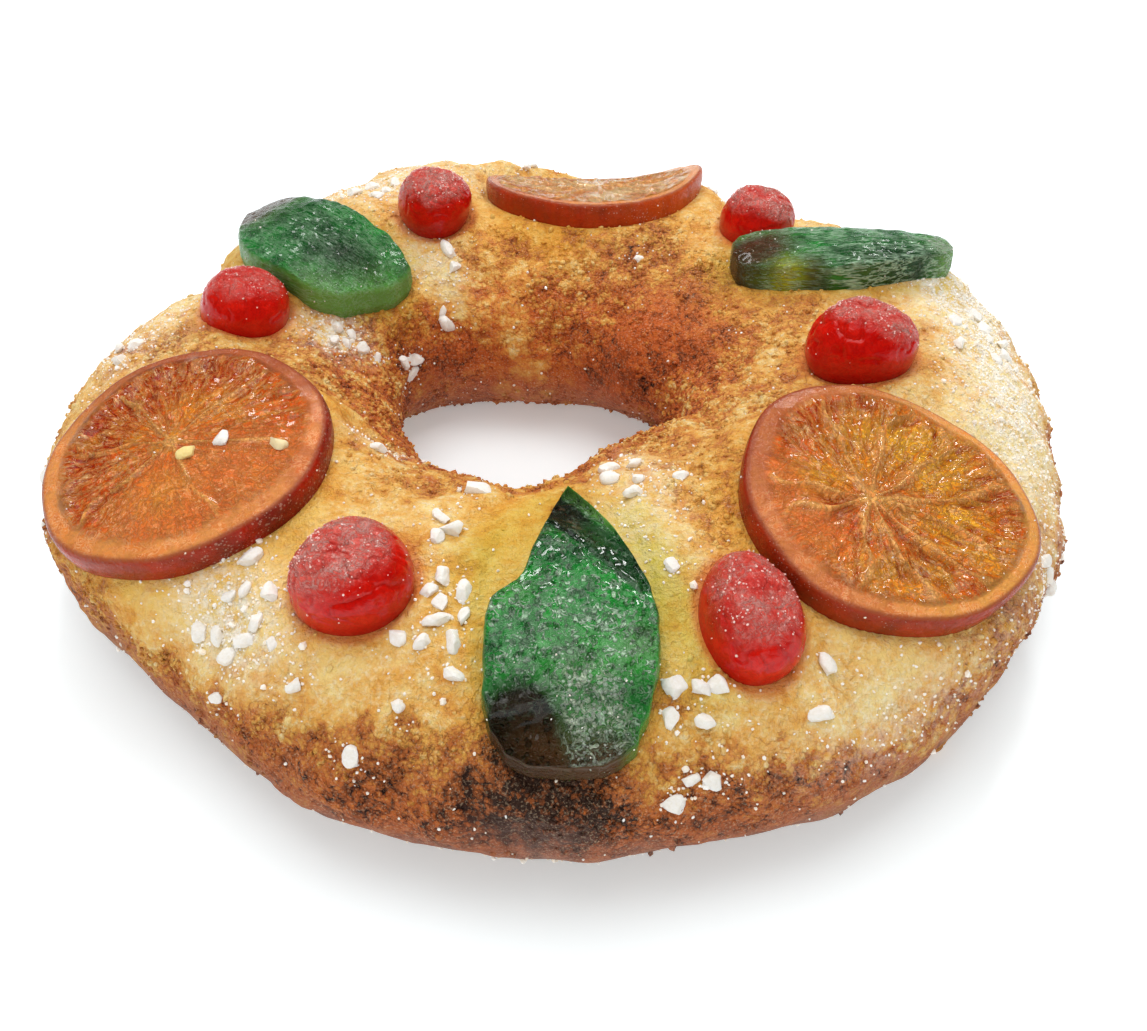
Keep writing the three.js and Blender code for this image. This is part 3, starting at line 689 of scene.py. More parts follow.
class Wiring:
    """Adds nodes to a material or a node group and links them."""

    def __init__(self, tree):
        self.tree = tree

    def node(self, kind, inputs=None, **settings):
        made = self.tree.nodes.new("ShaderNode" + kind)
        for name, value in settings.items():
            setattr(made, name, value)
        for name, value in (inputs or {}).items():
            self.feed(made.inputs[name], value)
        return made

    def feed(self, socket, value):
        if isinstance(value, bpy.types.NodeSocket):
            self.tree.links.new(value, socket)
        else:
            socket.default_value = value

    def maths(self, operation, a, b=0.0, clamp=False):
        return self.node("Math", {0: a, 1: b}, operation=operation, use_clamp=clamp).outputs[0]

    def times(self, *values):
        """The product of several values."""
        total = values[0]
        for value in values[1:]:
            total = self.maths("MULTIPLY", total, value)
        return total

    def plus(self, *values, clamp=False):
        """The sum of several values."""
        total = values[0]
        for value in values[1:-1]:
            total = self.maths("ADD", total, value)
        return self.maths("ADD", total, values[-1], clamp)

    def scaled(self, value, amount, offset=0.0):
        return self.node("Math", {0: value, 1: amount, 2: offset}, operation="MULTIPLY_ADD").outputs[0]

    def spread(self, value, low, high, start=0.0, end=1.0):
        """Maps low..high of a value to start..end, and no further."""
        inputs = {"Value": value, "From Min": low, "From Max": high, "To Min": start, "To Max": end}
        return self.node("MapRange", inputs, clamp=True).outputs[0]

    def mix(self, share, a, b, blend="MIX"):
        made = self.node("Mix", data_type="RGBA", blend_type=blend)
        self.feed(made.inputs[0], share)
        self.feed(made.inputs[6], a)
        self.feed(made.inputs[7], b)
        return made.outputs[2]

    def ramp(self, value, stops):
        made = self.node("ValToRGB", {"Fac": value})
        band = made.color_ramp
        while len(band.elements) < len(stops):
            band.elements.new(1.0)
        for element, (position, colour) in zip(band.elements, stops):
            element.position = position
            element.color = colour
        return made.outputs["Color"]

    def attribute(self, name, output="Fac"):
        return self.node("Attribute", attribute_name=name).outputs[output]

    def place(self):
        return self.node("TexCoord").outputs["Object"]

    def stretched(self, vector, *factors):
        return self.node("VectorMath", {0: vector, 1: factors}, operation="MULTIPLY").outputs[0]

    def warped(self, vector, scale, amount):
        """A place shifted by noise, which makes a regular pattern irregular."""
        shift = self.node("TexNoise", {"Vector": vector, "Scale": scale}).outputs["Color"]
        inputs = {0: shift, 1: (amount,) * 3, 2: vector}
        return self.node("VectorMath", inputs, operation="MULTIPLY_ADD").outputs[0]

    def noise(self, vector, scale, detail=2.0, roughness=0.5, distortion=0.0):
        inputs = {"Vector": vector, "Scale": scale, "Detail": detail, "Roughness": roughness}
        return self.node("TexNoise", {**inputs, "Distortion": distortion}).outputs["Fac"]

    def cells(self, vector, scale):
        """The distance to the nearest cell's middle, squared, and a number of each cell's own."""
        outputs = self.node("TexVoronoi", {"Vector": vector, "Scale": scale}).outputs
        tone = self.node("SeparateColor", {"Color": outputs["Color"]}).outputs["Red"]
        return self.maths("POWER", outputs["Distance"], 2.0), tone

    def group(self, name, inputs):
        made = self.tree.nodes.new("ShaderNodeGroup")
        made.node_tree = bpy.data.node_groups[name]
        for key, value in inputs.items():
            self.feed(made.inputs[key], value)
        return made.outputs


def start_group(name, inputs, outputs):
    """A new node group with named numbers in and out, its wiring and its two ends."""
    tree = bpy.data.node_groups.new(name, "ShaderNodeTree")
    for key, default in inputs.items():
        socket = tree.interface.new_socket(name=key, in_out="INPUT", socket_type="NodeSocketFloat")
        socket.default_value = default
    for key in outputs:
        tree.interface.new_socket(name=key, in_out="OUTPUT", socket_type="NodeSocketFloat")
    wiring = Wiring(tree)
    start = tree.nodes.new("NodeGroupInput").outputs
    end = tree.nodes.new("NodeGroupOutput").inputs
    return wiring, start, end


def crumb_grain_group():
    """Grain of baked dough: its height, painted shade in the crevices between its crumbs and each crumb's own
    tone.
    """
    wiring, start, end = start_group("crumb_grain", {"Smoothness": 0.0}, ["Height", "Crevices", "Tone"])
    place = wiring.place()
    warped = wiring.warped(place, 900.0, 0.001)
    crumb_gap, crumb_tone = wiring.cells(warped, 1300.0)
    clump_gap, clump_tone = wiring.cells(warped, 560.0)
    fine = wiring.noise(place, 3000.0, 2.0, 0.65)
    busy = wiring.scaled(start["Smoothness"], -0.9, 1.0)
    height = wiring.plus(
        wiring.times(fine, 0.35), wiring.times(crumb_gap, -0.5), wiring.times(clump_gap, -0.9)
    )
    # Painted shade: darkest in the gaps between the crumbs and between the clumps.
    crevice_shade = wiring.plus(
        wiring.spread(crumb_gap, 0.3, 0.8, 0.0, 0.7), wiring.spread(clump_gap, 0.35, 0.9, 0.0, 0.8)
    )
    tone = wiring.plus(wiring.scaled(crumb_tone, 0.5, -0.25), wiring.scaled(clump_tone, 0.4, -0.2))
    wiring.feed(end["Height"], wiring.times(height, busy))
    wiring.feed(end["Crevices"], wiring.times(crevice_shade, busy))
    wiring.feed(end["Tone"], wiring.times(tone, busy))


def sugar_frost_group():
    """Fine sugar stuck to a wet surface: a mask of its specks, a cloudy film and their height."""
    wiring, start, end = start_group("sugar_frost", {"Amount": 0.5, "Scale": 1.0}, ["Mask", "Film", "Height"])
    place = wiring.place()
    specks, tone = wiring.cells(place, wiring.maths("MULTIPLY", start["Scale"], 1500.0))
    patchy = wiring.noise(place, wiring.maths("MULTIPLY", start["Scale"], 330.0), 4.0, 0.7)
    reach = wiring.times(wiring.spread(patchy, 0.36, 0.66), start["Amount"])
    speck = wiring.maths("LESS_THAN", specks, wiring.times(reach, tone, 0.34))
    wiring.feed(end["Mask"], speck)
    wiring.feed(end["Film"], reach)
    wiring.feed(end["Height"], wiring.plus(speck, wiring.times(patchy, 0.6)))


def gel_wrinkles_group():
    """Wrinkles of fruit that has dried in syrup: a height and a mask of its creases."""
    wiring, start, end = start_group("gel_wrinkles", {"Scale": 1.0}, ["Height", "Creases"])
    place = wiring.place()
    broad = wiring.noise(place, wiring.maths("MULTIPLY", start["Scale"], 190.0), 3.0, 0.55, 0.6)
    fine = wiring.noise(place, wiring.maths("MULTIPLY", start["Scale"], 620.0), 3.0, 0.6, 0.8)
    ridge = wiring.maths("ABSOLUTE", wiring.scaled(fine, 2.0, -1.0))
    wiring.feed(end["Height"], wiring.plus(broad, wiring.times(ridge, 0.5)))
    wiring.feed(end["Creases"], wiring.spread(ridge, 0.14, 0.0))


def start_material(name, **constants):
    """A new material with its wiring and its Principled shader, whose constant sockets are set."""
    material = bpy.data.materials.new(name)
    material.use_nodes = True
    wiring = Wiring(material.node_tree)
    shader = material.node_tree.nodes["Principled BSDF"]
    for key, value in constants.items():
        shader.inputs[key.replace("_", " ")].default_value = value
    return material, wiring, shader.inputs


def rgba(colour):
    return (*colour, 1.0)


# Colours of specks, films and stains, which the panel doesn't list.
CURD = rgba(linear(252, 240, 206))
DUSTING = rgba(linear(255, 250, 238))
PEEL_FILM = rgba(linear(214, 140, 116))
PEEL_SPECK = rgba(linear(240, 206, 184))
RIND_FOAM = rgba(linear(204, 218, 190))
RIND_SPECK = rgba(linear(226, 236, 222))
NIB_SHADE = rgba(linear(236, 230, 218))
NIB_SYRUP = rgba(linear(240, 214, 140))
CRYSTAL_CLEAR = rgba(linear(255, 253, 248))
CRYSTAL_CLOUDED = rgba(linear(252, 238, 216))
CRYSTAL_PINK = rgba(linear(246, 178, 170))


def bump(wiring, height, distance, strength=1.0, normal=None):
    inputs = {"Height": height, "Distance": distance, "Strength": strength}
    if normal:
        inputs["Normal"] = normal
    return wiring.node("Bump", inputs).outputs["Normal"]


def crust_material(look):
    """Baked sweet dough, from pale to burnt, with stains of syrup and fruit, a dusting of sugar and painted
    shade in the crevices of its grain.
    """
    material, wiring, shader = start_material(
        "baked_dough", Subsurface_Weight=0.08, Subsurface_Radius=(1.0, 0.6, 0.3), Subsurface_Scale=0.001,
        Specular_IOR_Level=0.25,
    )
    place = wiring.place()
    grain = wiring.group("crumb_grain", {"Smoothness": wiring.attribute("smoothness")})
    bake = wiring.attribute("bake")
    baked = wiring.spread(bake, 0.22, 0.5, 0.3, 1.0)
    patch = wiring.noise(place, 150.0, 4.0, 0.65)
    mottle = wiring.noise(place, 270.0, 4.0, 0.65)
    winding = wiring.noise(place, 170.0, 4.0, 0.65, 0.4)
    cracks = wiring.spread(wiring.maths("ABSOLUTE", wiring.scaled(winding, 2.0, -1.0)), 0.035, 0.0)
    cracks = wiring.times(cracks, baked, wiring.spread(patch, 0.42, 0.58))
    foot = wiring.attribute("foot")
    streaks = wiring.noise(wiring.stretched(place, 1.0, 1.0, 0.12), 430.0, 2.0, 0.6)
    even = wiring.spread(bake, 0.45, 0.8, 1.0, 0.35)
    # Painted shade: the crevices of the grain, and the relief shade carried by the bake mark, darken the
    # crust.
    level = wiring.plus(
        bake, wiring.times(grain["Tone"], baked, 0.5), wiring.times(grain["Crevices"], baked, 0.26),
        wiring.times(wiring.scaled(patch, 0.62, -0.32), even),
        wiring.times(wiring.scaled(mottle, 0.8, -0.4), even),
        wiring.times(cracks, 0.2), wiring.times(wiring.scaled(streaks, 0.5, -0.25), foot), clamp=True,
    )
    pale, golden, brown, burnt = (np.array(rgba(c)) for c in (look.pale, look.golden, look.brown, look.burnt))
    base = wiring.ramp(level, [
        (0.0, pale), (0.17, pale * 0.5 + golden * 0.5), (0.32, golden), (0.5, golden * 0.3 + brown * 0.7),
        (0.66, brown), (0.84, brown * 0.45 + burnt * 0.55), (1.0, burnt),
    ])
    pores = wiring.noise(place, 1000.0, 3.0, 0.7)
    curd = wiring.times(wiring.spread(pores, 0.48, 0.66), wiring.spread(level, 0.4, 0.15), 0.55)
    base = wiring.mix(curd, base, CURD)
    warmth = wiring.times(wiring.attribute("warm"), wiring.spread(level, 0.25, 0.55))
    base = wiring.mix(warmth, base, wiring.mix(1.0, base, rgba(look.warm), "MULTIPLY"))
    stained = wiring.mix(0.3, wiring.mix(1.0, base, rgba(look.syrup), "MULTIPLY"), rgba(look.syrup))
    soaked = wiring.times(wiring.attribute("syrup"), wiring.spread(level, 0.4, 0.75, 0.7, 0.05))
    base = wiring.mix(soaked, base, stained)
    green = wiring.mix(0.4, wiring.mix(1.0, base, rgba(look.green), "MULTIPLY"), rgba(look.green))
    base = wiring.mix(wiring.times(wiring.attribute("green_stain"), 0.75), base, green)
    base = wiring.mix(wiring.times(wiring.attribute("red_stain"), 0.65), base, rgba(look.red))
    dark_skin = rgba(np.array(look.foot) * 0.62)
    skin = wiring.mix(wiring.spread(streaks, 0.3, 0.7), rgba(look.foot), dark_skin)
    base = wiring.mix(wiring.times(foot, 0.85), base, skin)
    speckle = wiring.spread(wiring.noise(place, 2300.0, 2.0, 0.6), 0.54, 0.66)
    speckle = wiring.times(speckle, wiring.spread(level, 0.32, 0.55), wiring.scaled(patch, 0.8, -0.12))
    base = wiring.mix(speckle, base, rgba(look.speckle))
    dusting = wiring.noise(place, 480.0, 4.0, 0.75)
    dusted = wiring.times(wiring.spread(dusting, 0.4, 0.6), wiring.attribute("white_sugar"))
    base = wiring.mix(wiring.maths("MULTIPLY", dusted, 0.95, clamp=True), base, DUSTING)
    wiring.feed(shader["Base Color"], base)
    wiring.feed(shader["Roughness"], wiring.scaled(wiring.attribute("syrup"), -0.3, 0.8))
    height = wiring.plus(
        wiring.times(grain["Height"], baked), wiring.times(cracks, -0.3), wiring.times(mottle, 0.8),
        wiring.times(pores, 0.7),
    )
    wiring.feed(shader["Normal"], bump(wiring, height, 0.0014))
    return material


def orange_material(look):
    """Candied orange: wet fibrous pulp, membranes, a band of peel that runs into it, a dark red side, and
    painted glints and highlights on the pulp and peel.
    """
    material, wiring, shader = start_material(
        "orange_flesh", Subsurface_Weight=0.12, Subsurface_Radius=(1.0, 0.35, 0.08), Subsurface_Scale=0.001,
        IOR=1.45, Specular_IOR_Level=0.22, Coat_Roughness=0.08,
    )
    place = wiring.place()
    wrinkles = wiring.group("gel_wrinkles", {"Scale": 1.3})
    spoke = wiring.attribute("spoke", "Vector")
    streaks = wiring.noise(spoke, 7.0, 4.0, 0.65, 0.6)
    fibres = wiring.noise(spoke, 17.0, 3.0, 0.6, 0.9)
    hairs = wiring.noise(spoke, 36.0, 2.0, 0.6, 1.2)
    swirls = wiring.noise(place, 480.0, 3.0, 0.6, 2.0)
    wisps = wiring.spread(wiring.maths("ABSOLUTE", wiring.scaled(swirls, 2.0, -1.0)), 0.12, 0.0)
    pools = wiring.noise(place, 210.0, 3.0, 0.6, 0.6)
    calm, flesh = wiring.attribute("calm"), wiring.attribute("flesh")
    lively = wiring.scaled(calm, -0.55, 1.0)
    outwards = wiring.node("SeparateXYZ", {"Vector": spoke}).outputs["Z"]
    pulp = wiring.mix(wiring.spread(streaks, 0.46, 0.62, 0.0, 0.8), rgba(look.pulp), rgba(look.pulp_dark))
    juicy = wiring.times(wiring.spread(pools, 0.52, 0.66, 0.0, 0.55), lively)
    pulp = wiring.mix(juicy, pulp, rgba(look.pulp_bright_and_glint))
    raised = wiring.times(wiring.spread(fibres, 0.5, 0.62, 0.0, 0.7), lively)
    pulp = wiring.mix(raised, pulp, rgba(look.pulp_light_and_highlight))
    smooth_pulp = np.array(look.peel) * 0.6 + np.array(look.pulp) * 0.2 + np.array(look.pulp_light_and_highlight) * 0.2
    pulp = wiring.mix(wiring.times(calm, 0.6), pulp, rgba(smooth_pulp))
    # Painted glints at the listed glint spots.
    glint = wiring.times(wiring.attribute("glint"), wiring.spread(fibres, 0.35, 0.6, 0.4, 1.0))
    pulp = wiring.mix(glint, pulp, rgba(look.pulp_bright_and_glint))
    dark = wiring.times(wiring.attribute("dark"), wiring.spread(fibres, 0.36, 0.6, 1.0, 0.3))
    pulp = wiring.mix(dark, pulp, rgba(look.pulp_dark))
    # Painted highlights: thin light squiggles along the swirls, fewer in the dark spots.
    wisps = wiring.times(wisps, wiring.scaled(dark, -0.75, 1.0))
    pulp = wiring.mix(wiring.times(wisps, wiring.scaled(calm, -0.4, 0.75)), pulp, rgba(look.pulp_light_and_highlight))
    # Painted glints: thin bright strokes on the lively pulp.
    gleam = wiring.spread(wiring.maths("ABSOLUTE", wiring.scaled(hairs, 2.0, -1.0)), 0.12, 0.0)
    gleam = wiring.times(gleam, wiring.spread(swirls, 0.48, 0.58), wiring.spread(pools, 0.4, 0.52), lively)
    pulp = wiring.mix(gleam, pulp, rgba(look.glaze))
    walls = wiring.times(wiring.attribute("membrane"), wiring.spread(swirls, 0.35, 0.6, 0.5, 1.0))
    pulp = wiring.mix(walls, pulp, rgba(look.membrane))
    blotch = wiring.noise(place, 130.0, 4.0, 0.65)
    # Dried syrup, partly a painted highlight where it whitens the back slice.
    glazed = wiring.times(wiring.attribute("glaze"), wiring.spread(blotch, 0.36, 0.6, 0.25, 1.0))
    pulp = wiring.mix(glazed, pulp, rgba(look.glaze))
    peel = wiring.mix(wiring.attribute("pale_peel"), rgba(look.peel), rgba(look.peel_pale))
    peel = wiring.mix(wiring.spread(blotch, 0.42, 0.68, 0.0, 0.4), peel, rgba(look.pulp_light_and_highlight))
    peel = wiring.mix(wiring.spread(pools, 0.42, 0.62, 0.0, 0.3), peel, rgba(look.pulp))
    peel = wiring.mix(wiring.spread(swirls, 0.45, 0.7, 0.0, 0.25), peel, rgba(look.peel_edge))
    # Painted highlights along the swirls on the peel.
    peel = wiring.mix(wiring.times(wisps, wiring.spread(pools, 0.45, 0.6), 0.45), peel, rgba(look.glaze))
    peel = wiring.mix(wiring.times(wiring.attribute("rim"), 0.8), peel, rgba(look.peel_edge))
    side = wiring.mix(wiring.spread(blotch, 0.35, 0.65), rgba(look.peel_side), rgba(look.side_dark))
    bright = wiring.times(wiring.attribute("amber"), wiring.spread(streaks, 0.35, 0.65, 0.6, 1.0))
    side = wiring.mix(bright, side, rgba(look.side_light))
    fringe = wiring.plus(
        wiring.attribute("peel"), wiring.scaled(streaks, 1.4, -0.7), wiring.scaled(fibres, 1.0, -0.5)
    )
    base = wiring.mix(wiring.spread(fringe, 0.4, 0.8), pulp, peel)
    base = wiring.mix(wiring.attribute("side"), base, side)
    frost = wiring.group("sugar_frost", {"Amount": wiring.attribute("frost"), "Scale": 1.0})
    base = wiring.mix(wiring.times(frost["Film"], 0.1), base, PEEL_FILM)
    base = wiring.mix(wiring.times(frost["Mask"], 0.3), base, PEEL_SPECK)
    wiring.feed(shader["Base Color"], base)
    wiring.feed(shader["Roughness"], wiring.spread(frost["Film"], 0.0, 1.0, 0.2, 0.5))
    wiring.feed(shader["Coat Weight"], wiring.scaled(flesh, 0.3, 0.05))
    fibrous = wiring.plus(wiring.times(streaks, 1.1), wiring.times(fibres, 1.0))
    fibrous = wiring.times(fibrous, lively, flesh, outwards, 3.0)
    wet = wiring.plus(wiring.times(swirls, 0.8), wiring.times(wisps, 0.35))
    wet = wiring.times(wet, flesh, wiring.scaled(calm, -0.4, 1.0))
    height = wiring.plus(
        fibrous, wet, wiring.times(wrinkles["Height"], 0.45), wiring.times(frost["Height"], 0.2)
    )
    wiring.feed(shader["Normal"], bump(wiring, height, 0.0012))
    return material


def cherry_material(look):
    """Glazed cherry: translucent red, glossy below and wrinkled and frosted with sugar above, with painted
    shade in its creases and underside and a painted sheen on its frosted side.
    """
    material, wiring, shader = start_material(
        "cherry_flesh", Subsurface_Weight=0.25, Subsurface_Radius=(1.0, 0.08, 0.06), Subsurface_Scale=0.0025,
        IOR=1.45, Specular_IOR_Level=0.25, Coat_Weight=0.15, Coat_Roughness=0.08,
    )
    place = wiring.place()
    wrinkles = wiring.group("gel_wrinkles", {"Scale": 1.0})
    frosted = wiring.attribute("frost")
    frost = wiring.group("sugar_frost", {"Amount": frosted, "Scale": 0.9})
    cloudy = wiring.noise(place, 220.0, 4.0, 0.65)
    swirls = wiring.noise(place, 420.0, 3.0, 0.6, 1.8)
    wisps = wiring.spread(wiring.maths("ABSOLUTE", wiring.scaled(swirls, 2.0, -1.0)), 0.16, 0.0)
    wisps = wiring.times(wisps, wiring.spread(cloudy, 0.42, 0.6), wiring.spread(frosted, 0.1, 0.7))
    base = wiring.mix(wiring.spread(cloudy, 0.35, 0.7), rgba(look.cherry), rgba(look.cherry_light))
    # Painted shade on the underside.
    base = wiring.mix(wiring.attribute("deep"), base, rgba(look.cherry_shade))
    # Sugar film and, with it, a painted sheen on the frosted side of each cherry.
    haze = wiring.times(wiring.spread(frosted, 0.1, 0.8), wiring.spread(cloudy, 0.36, 0.62, 0.3, 1.0))
    base = wiring.mix(wiring.times(haze, 0.78), base, rgba(look.cherry_film_and_sheen))
    # Painted shade in the creases of the wrinkles.
    base = wiring.mix(wiring.times(wrinkles["Creases"], 0.3), base, rgba(look.cherry_shade))
    base = wiring.mix(wiring.times(wisps, 0.75), base, rgba(look.cherry_frost))
    base = wiring.mix(wiring.times(frost["Mask"], 0.35), base, rgba(look.cherry_frost))
    wiring.feed(shader["Base Color"], base)
    wiring.feed(shader["Roughness"], wiring.spread(frosted, 0.0, 0.8, 0.12, 0.3))
    wrinkled = wiring.times(wrinkles["Height"], wiring.spread(frosted, 0.0, 0.5, 0.15, 1.0))
    height = wiring.plus(wrinkled, wiring.times(frost["Height"], 0.3), wiring.times(wisps, 0.5))
    wiring.feed(shader["Normal"], bump(wiring, height, 0.0012))
    return material


def rind_material(look):
    """Candied green rind: a wet surface full of small bubbles, with frost, streaks, paler cut sides, painted
    highlights on the bubble rings and painted shade in their hollows.
    """
    material, wiring, shader = start_material(
        "rind_flesh", Subsurface_Weight=0.12, Subsurface_Radius=(0.2, 1.0, 0.3), Subsurface_Scale=0.0012,
        IOR=1.45, Specular_IOR_Level=0.3, Coat_Roughness=0.08,
    )
    place = wiring.place()
    warped = wiring.warped(place, 500.0, 0.0024)
    bubbly, streaky = wiring.attribute("bubbly"), wiring.attribute("streaky")
    frost = wiring.group("sugar_frost", {"Amount": wiring.attribute("frost"), "Scale": 0.8})
    wrinkles = wiring.group("gel_wrinkles", {"Scale": 1.3})
    blotch = wiring.noise(place, 170.0, 4.0, 0.65)
    rings, hollows = [], []
    for scale in (380.0, 700.0):
        gap, tone = wiring.cells(warped, scale)
        radius = wiring.scaled(tone, 0.12, 0.03)
        rings.append(wiring.times(
            wiring.spread(wiring.maths("ABSOLUTE", wiring.maths("SUBTRACT", gap, radius)), 0.05, 0.0),
            wiring.maths("GREATER_THAN", tone, 0.35)))
        hollows.append(wiring.spread(wiring.maths("SUBTRACT", gap, radius), 0.0, -0.05))
    dark = wiring.attribute("dark")
    broken = wiring.spread(wiring.noise(place, 650.0, 2.0, 0.6), 0.47, 0.55)
    brown = wiring.attribute("brown")
    wet = wiring.times(bubbly, wiring.scaled(dark, -0.9, 1.0), wiring.scaled(brown, -0.6, 1.0))
    ring = wiring.times(wiring.maths("MAXIMUM", *rings), broken, wet)
    crumple = wiring.noise(place, 430.0, 1.6, 0.5, 1.0)
    crumple = wiring.spread(wiring.maths("ABSOLUTE", wiring.scaled(crumple, 2.0, -1.0)), 0.1, 0.03)
    crumple = wiring.times(crumple, broken, wet)
    hollow = wiring.times(wiring.maths("MAXIMUM", *hollows), bubbly)
    lines = wiring.noise(wiring.stretched(wiring.attribute("local", "Vector"), 0.1, 1.0, 1.0), 0.75, 3.0, 0.7)
    lines = wiring.spread(wiring.maths("ABSOLUTE", wiring.scaled(lines, 2.0, -1.0)), 0.16, 0.0)
    lines = wiring.times(lines, streaky)
    base = wiring.mix(wiring.spread(blotch, 0.35, 0.65), rgba(look.rind), rgba(look.rind_bright))
    base = wiring.mix(wiring.attribute("light"), base, rgba(look.rind_light))
    base = wiring.mix(dark, base, rgba(look.rind_dark))
    base = wiring.mix(brown, base, rgba(look.rind_brown))
    base = wiring.mix(wiring.attribute("yellow"), base, rgba(look.rind_yellow))
    # Painted shade in the hollows of the bubbles.
    base = wiring.mix(wiring.times(hollow, 0.5), base, rgba(look.rind_dark))
    # Painted highlights on the bubble rings, together with the pale streaks of streaked rinds.
    shine = wiring.times(wiring.maths("MAXIMUM", ring, wiring.times(lines, 0.8)),
                         wiring.spread(blotch, 0.36, 0.56, 0.15, 1.0),
                         wiring.scaled(brown, -0.9, 1.0))
    base = wiring.mix(shine, base, rgba(look.rind_film_and_highlight))
    # Painted glints along the crumpled lines.
    crumpled = wiring.times(crumple, wiring.spread(blotch, 0.4, 0.6, 0.3, 1.0))
    base = wiring.mix(crumpled, base, rgba(look.rind_film_and_highlight))
    base = wiring.mix(wiring.times(wrinkles["Creases"], wet, 0.14), base, rgba(look.rind_film_and_highlight))
    foam = wiring.spread(wiring.noise(place, 700.0, 3.0, 0.65, 1.5), 0.47, 0.6)
    foam = wiring.times(foam, wiring.spread(wiring.attribute("frost"), 0.55, 1.0), 0.75)
    base = wiring.mix(foam, base, RIND_FOAM)
    base = wiring.mix(wiring.times(frost["Film"], 0.05), base, rgba(look.rind_film_and_highlight))
    base = wiring.mix(wiring.times(frost["Mask"], wiring.scaled(dark, -0.4, 0.5)), base, RIND_SPECK)
    wiring.feed(shader["Base Color"], base)
    wiring.feed(shader["Roughness"], wiring.spread(frost["Film"], 0.0, 1.0, 0.18, 0.4))
    height = wiring.plus(wiring.times(ring, 0.6), wiring.times(hollow, -0.5), wiring.times(lines, 0.5),
                         wiring.times(wrinkles["Height"], 0.6), wiring.times(frost["Height"], 0.2),
                         wiring.times(foam, 0.5), wiring.times(crumple, 0.6))
    height = wiring.times(height, wiring.scaled(bubbly, 0.55, 0.45))
    wiring.feed(shader["Coat Weight"], wiring.scaled(bubbly, 0.38, 0.05))
    wiring.feed(shader["Normal"], bump(wiring, height, 0.0022))
    return material


def sugar_material(look):
    """Pearl sugar: dense and white, a little yellow where syrup has soaked in."""
    material, wiring, shader = start_material(
        "pearl_sugar", Subsurface_Weight=0.35, Subsurface_Radius=(1.0, 0.95, 0.85), Subsurface_Scale=0.0012,
        Specular_IOR_Level=0.4,
    )
    grain = wiring.noise(wiring.place(), 1500.0, 3.0, 0.7)
    base = wiring.mix(wiring.spread(grain, 0.3, 0.7), rgba(look.white), NIB_SHADE)
    base = wiring.mix(wiring.attribute("tint"), base, NIB_SYRUP)
    wiring.feed(shader["Base Color"], base)
    wiring.feed(shader["Roughness"], wiring.spread(grain, 0.3, 0.7, 0.45, 0.75))
    wiring.feed(shader["Normal"], bump(wiring, grain, 0.0003, 0.6))
    return material


def crystal_material(look):
    """Single crystals of sugar: clear, white and sparkling, pink where they stick to a cherry."""
    material, wiring, shader = start_material(
        "sugar_crystals", IOR=1.54, Coat_Weight=0.3, Coat_Roughness=0.05,
    )
    grain = wiring.noise(wiring.place(), 600.0, 2.0, 0.6)
    base = wiring.mix(wiring.spread(grain, 0.35, 0.65), CRYSTAL_CLEAR, CRYSTAL_CLOUDED)
    base = wiring.mix(wiring.attribute("pinkness"), base, CRYSTAL_PINK)
    wiring.feed(shader["Base Color"], base)
    wiring.feed(shader["Roughness"], wiring.spread(grain, 0.3, 0.7, 0.15, 0.4))
    return material


# Pieces.


class PieceOperator:
    """What the operators that build a piece share."""

    bl_options = {"REGISTER", "UNDO"}

    def execute(self, context):
        self.build(context.scene)
        return {"FINISHED"}


def look_up(name, make, look):
    """A material by name, made the first time that it is asked for."""
    return bpy.data.materials.get(name) or make(look)


DOUGH_ROUNDS = 560
DOUGH_STEPS = 168
UNDERSIDE_STEPS = 8


def wrapped(values):
    """Values round and across the ring with the first row and column repeated at the end."""
    return np.pad(values, ((0, 1), (0, 1)) + ((0, 0),) * (values.ndim - 2), mode="wrap")


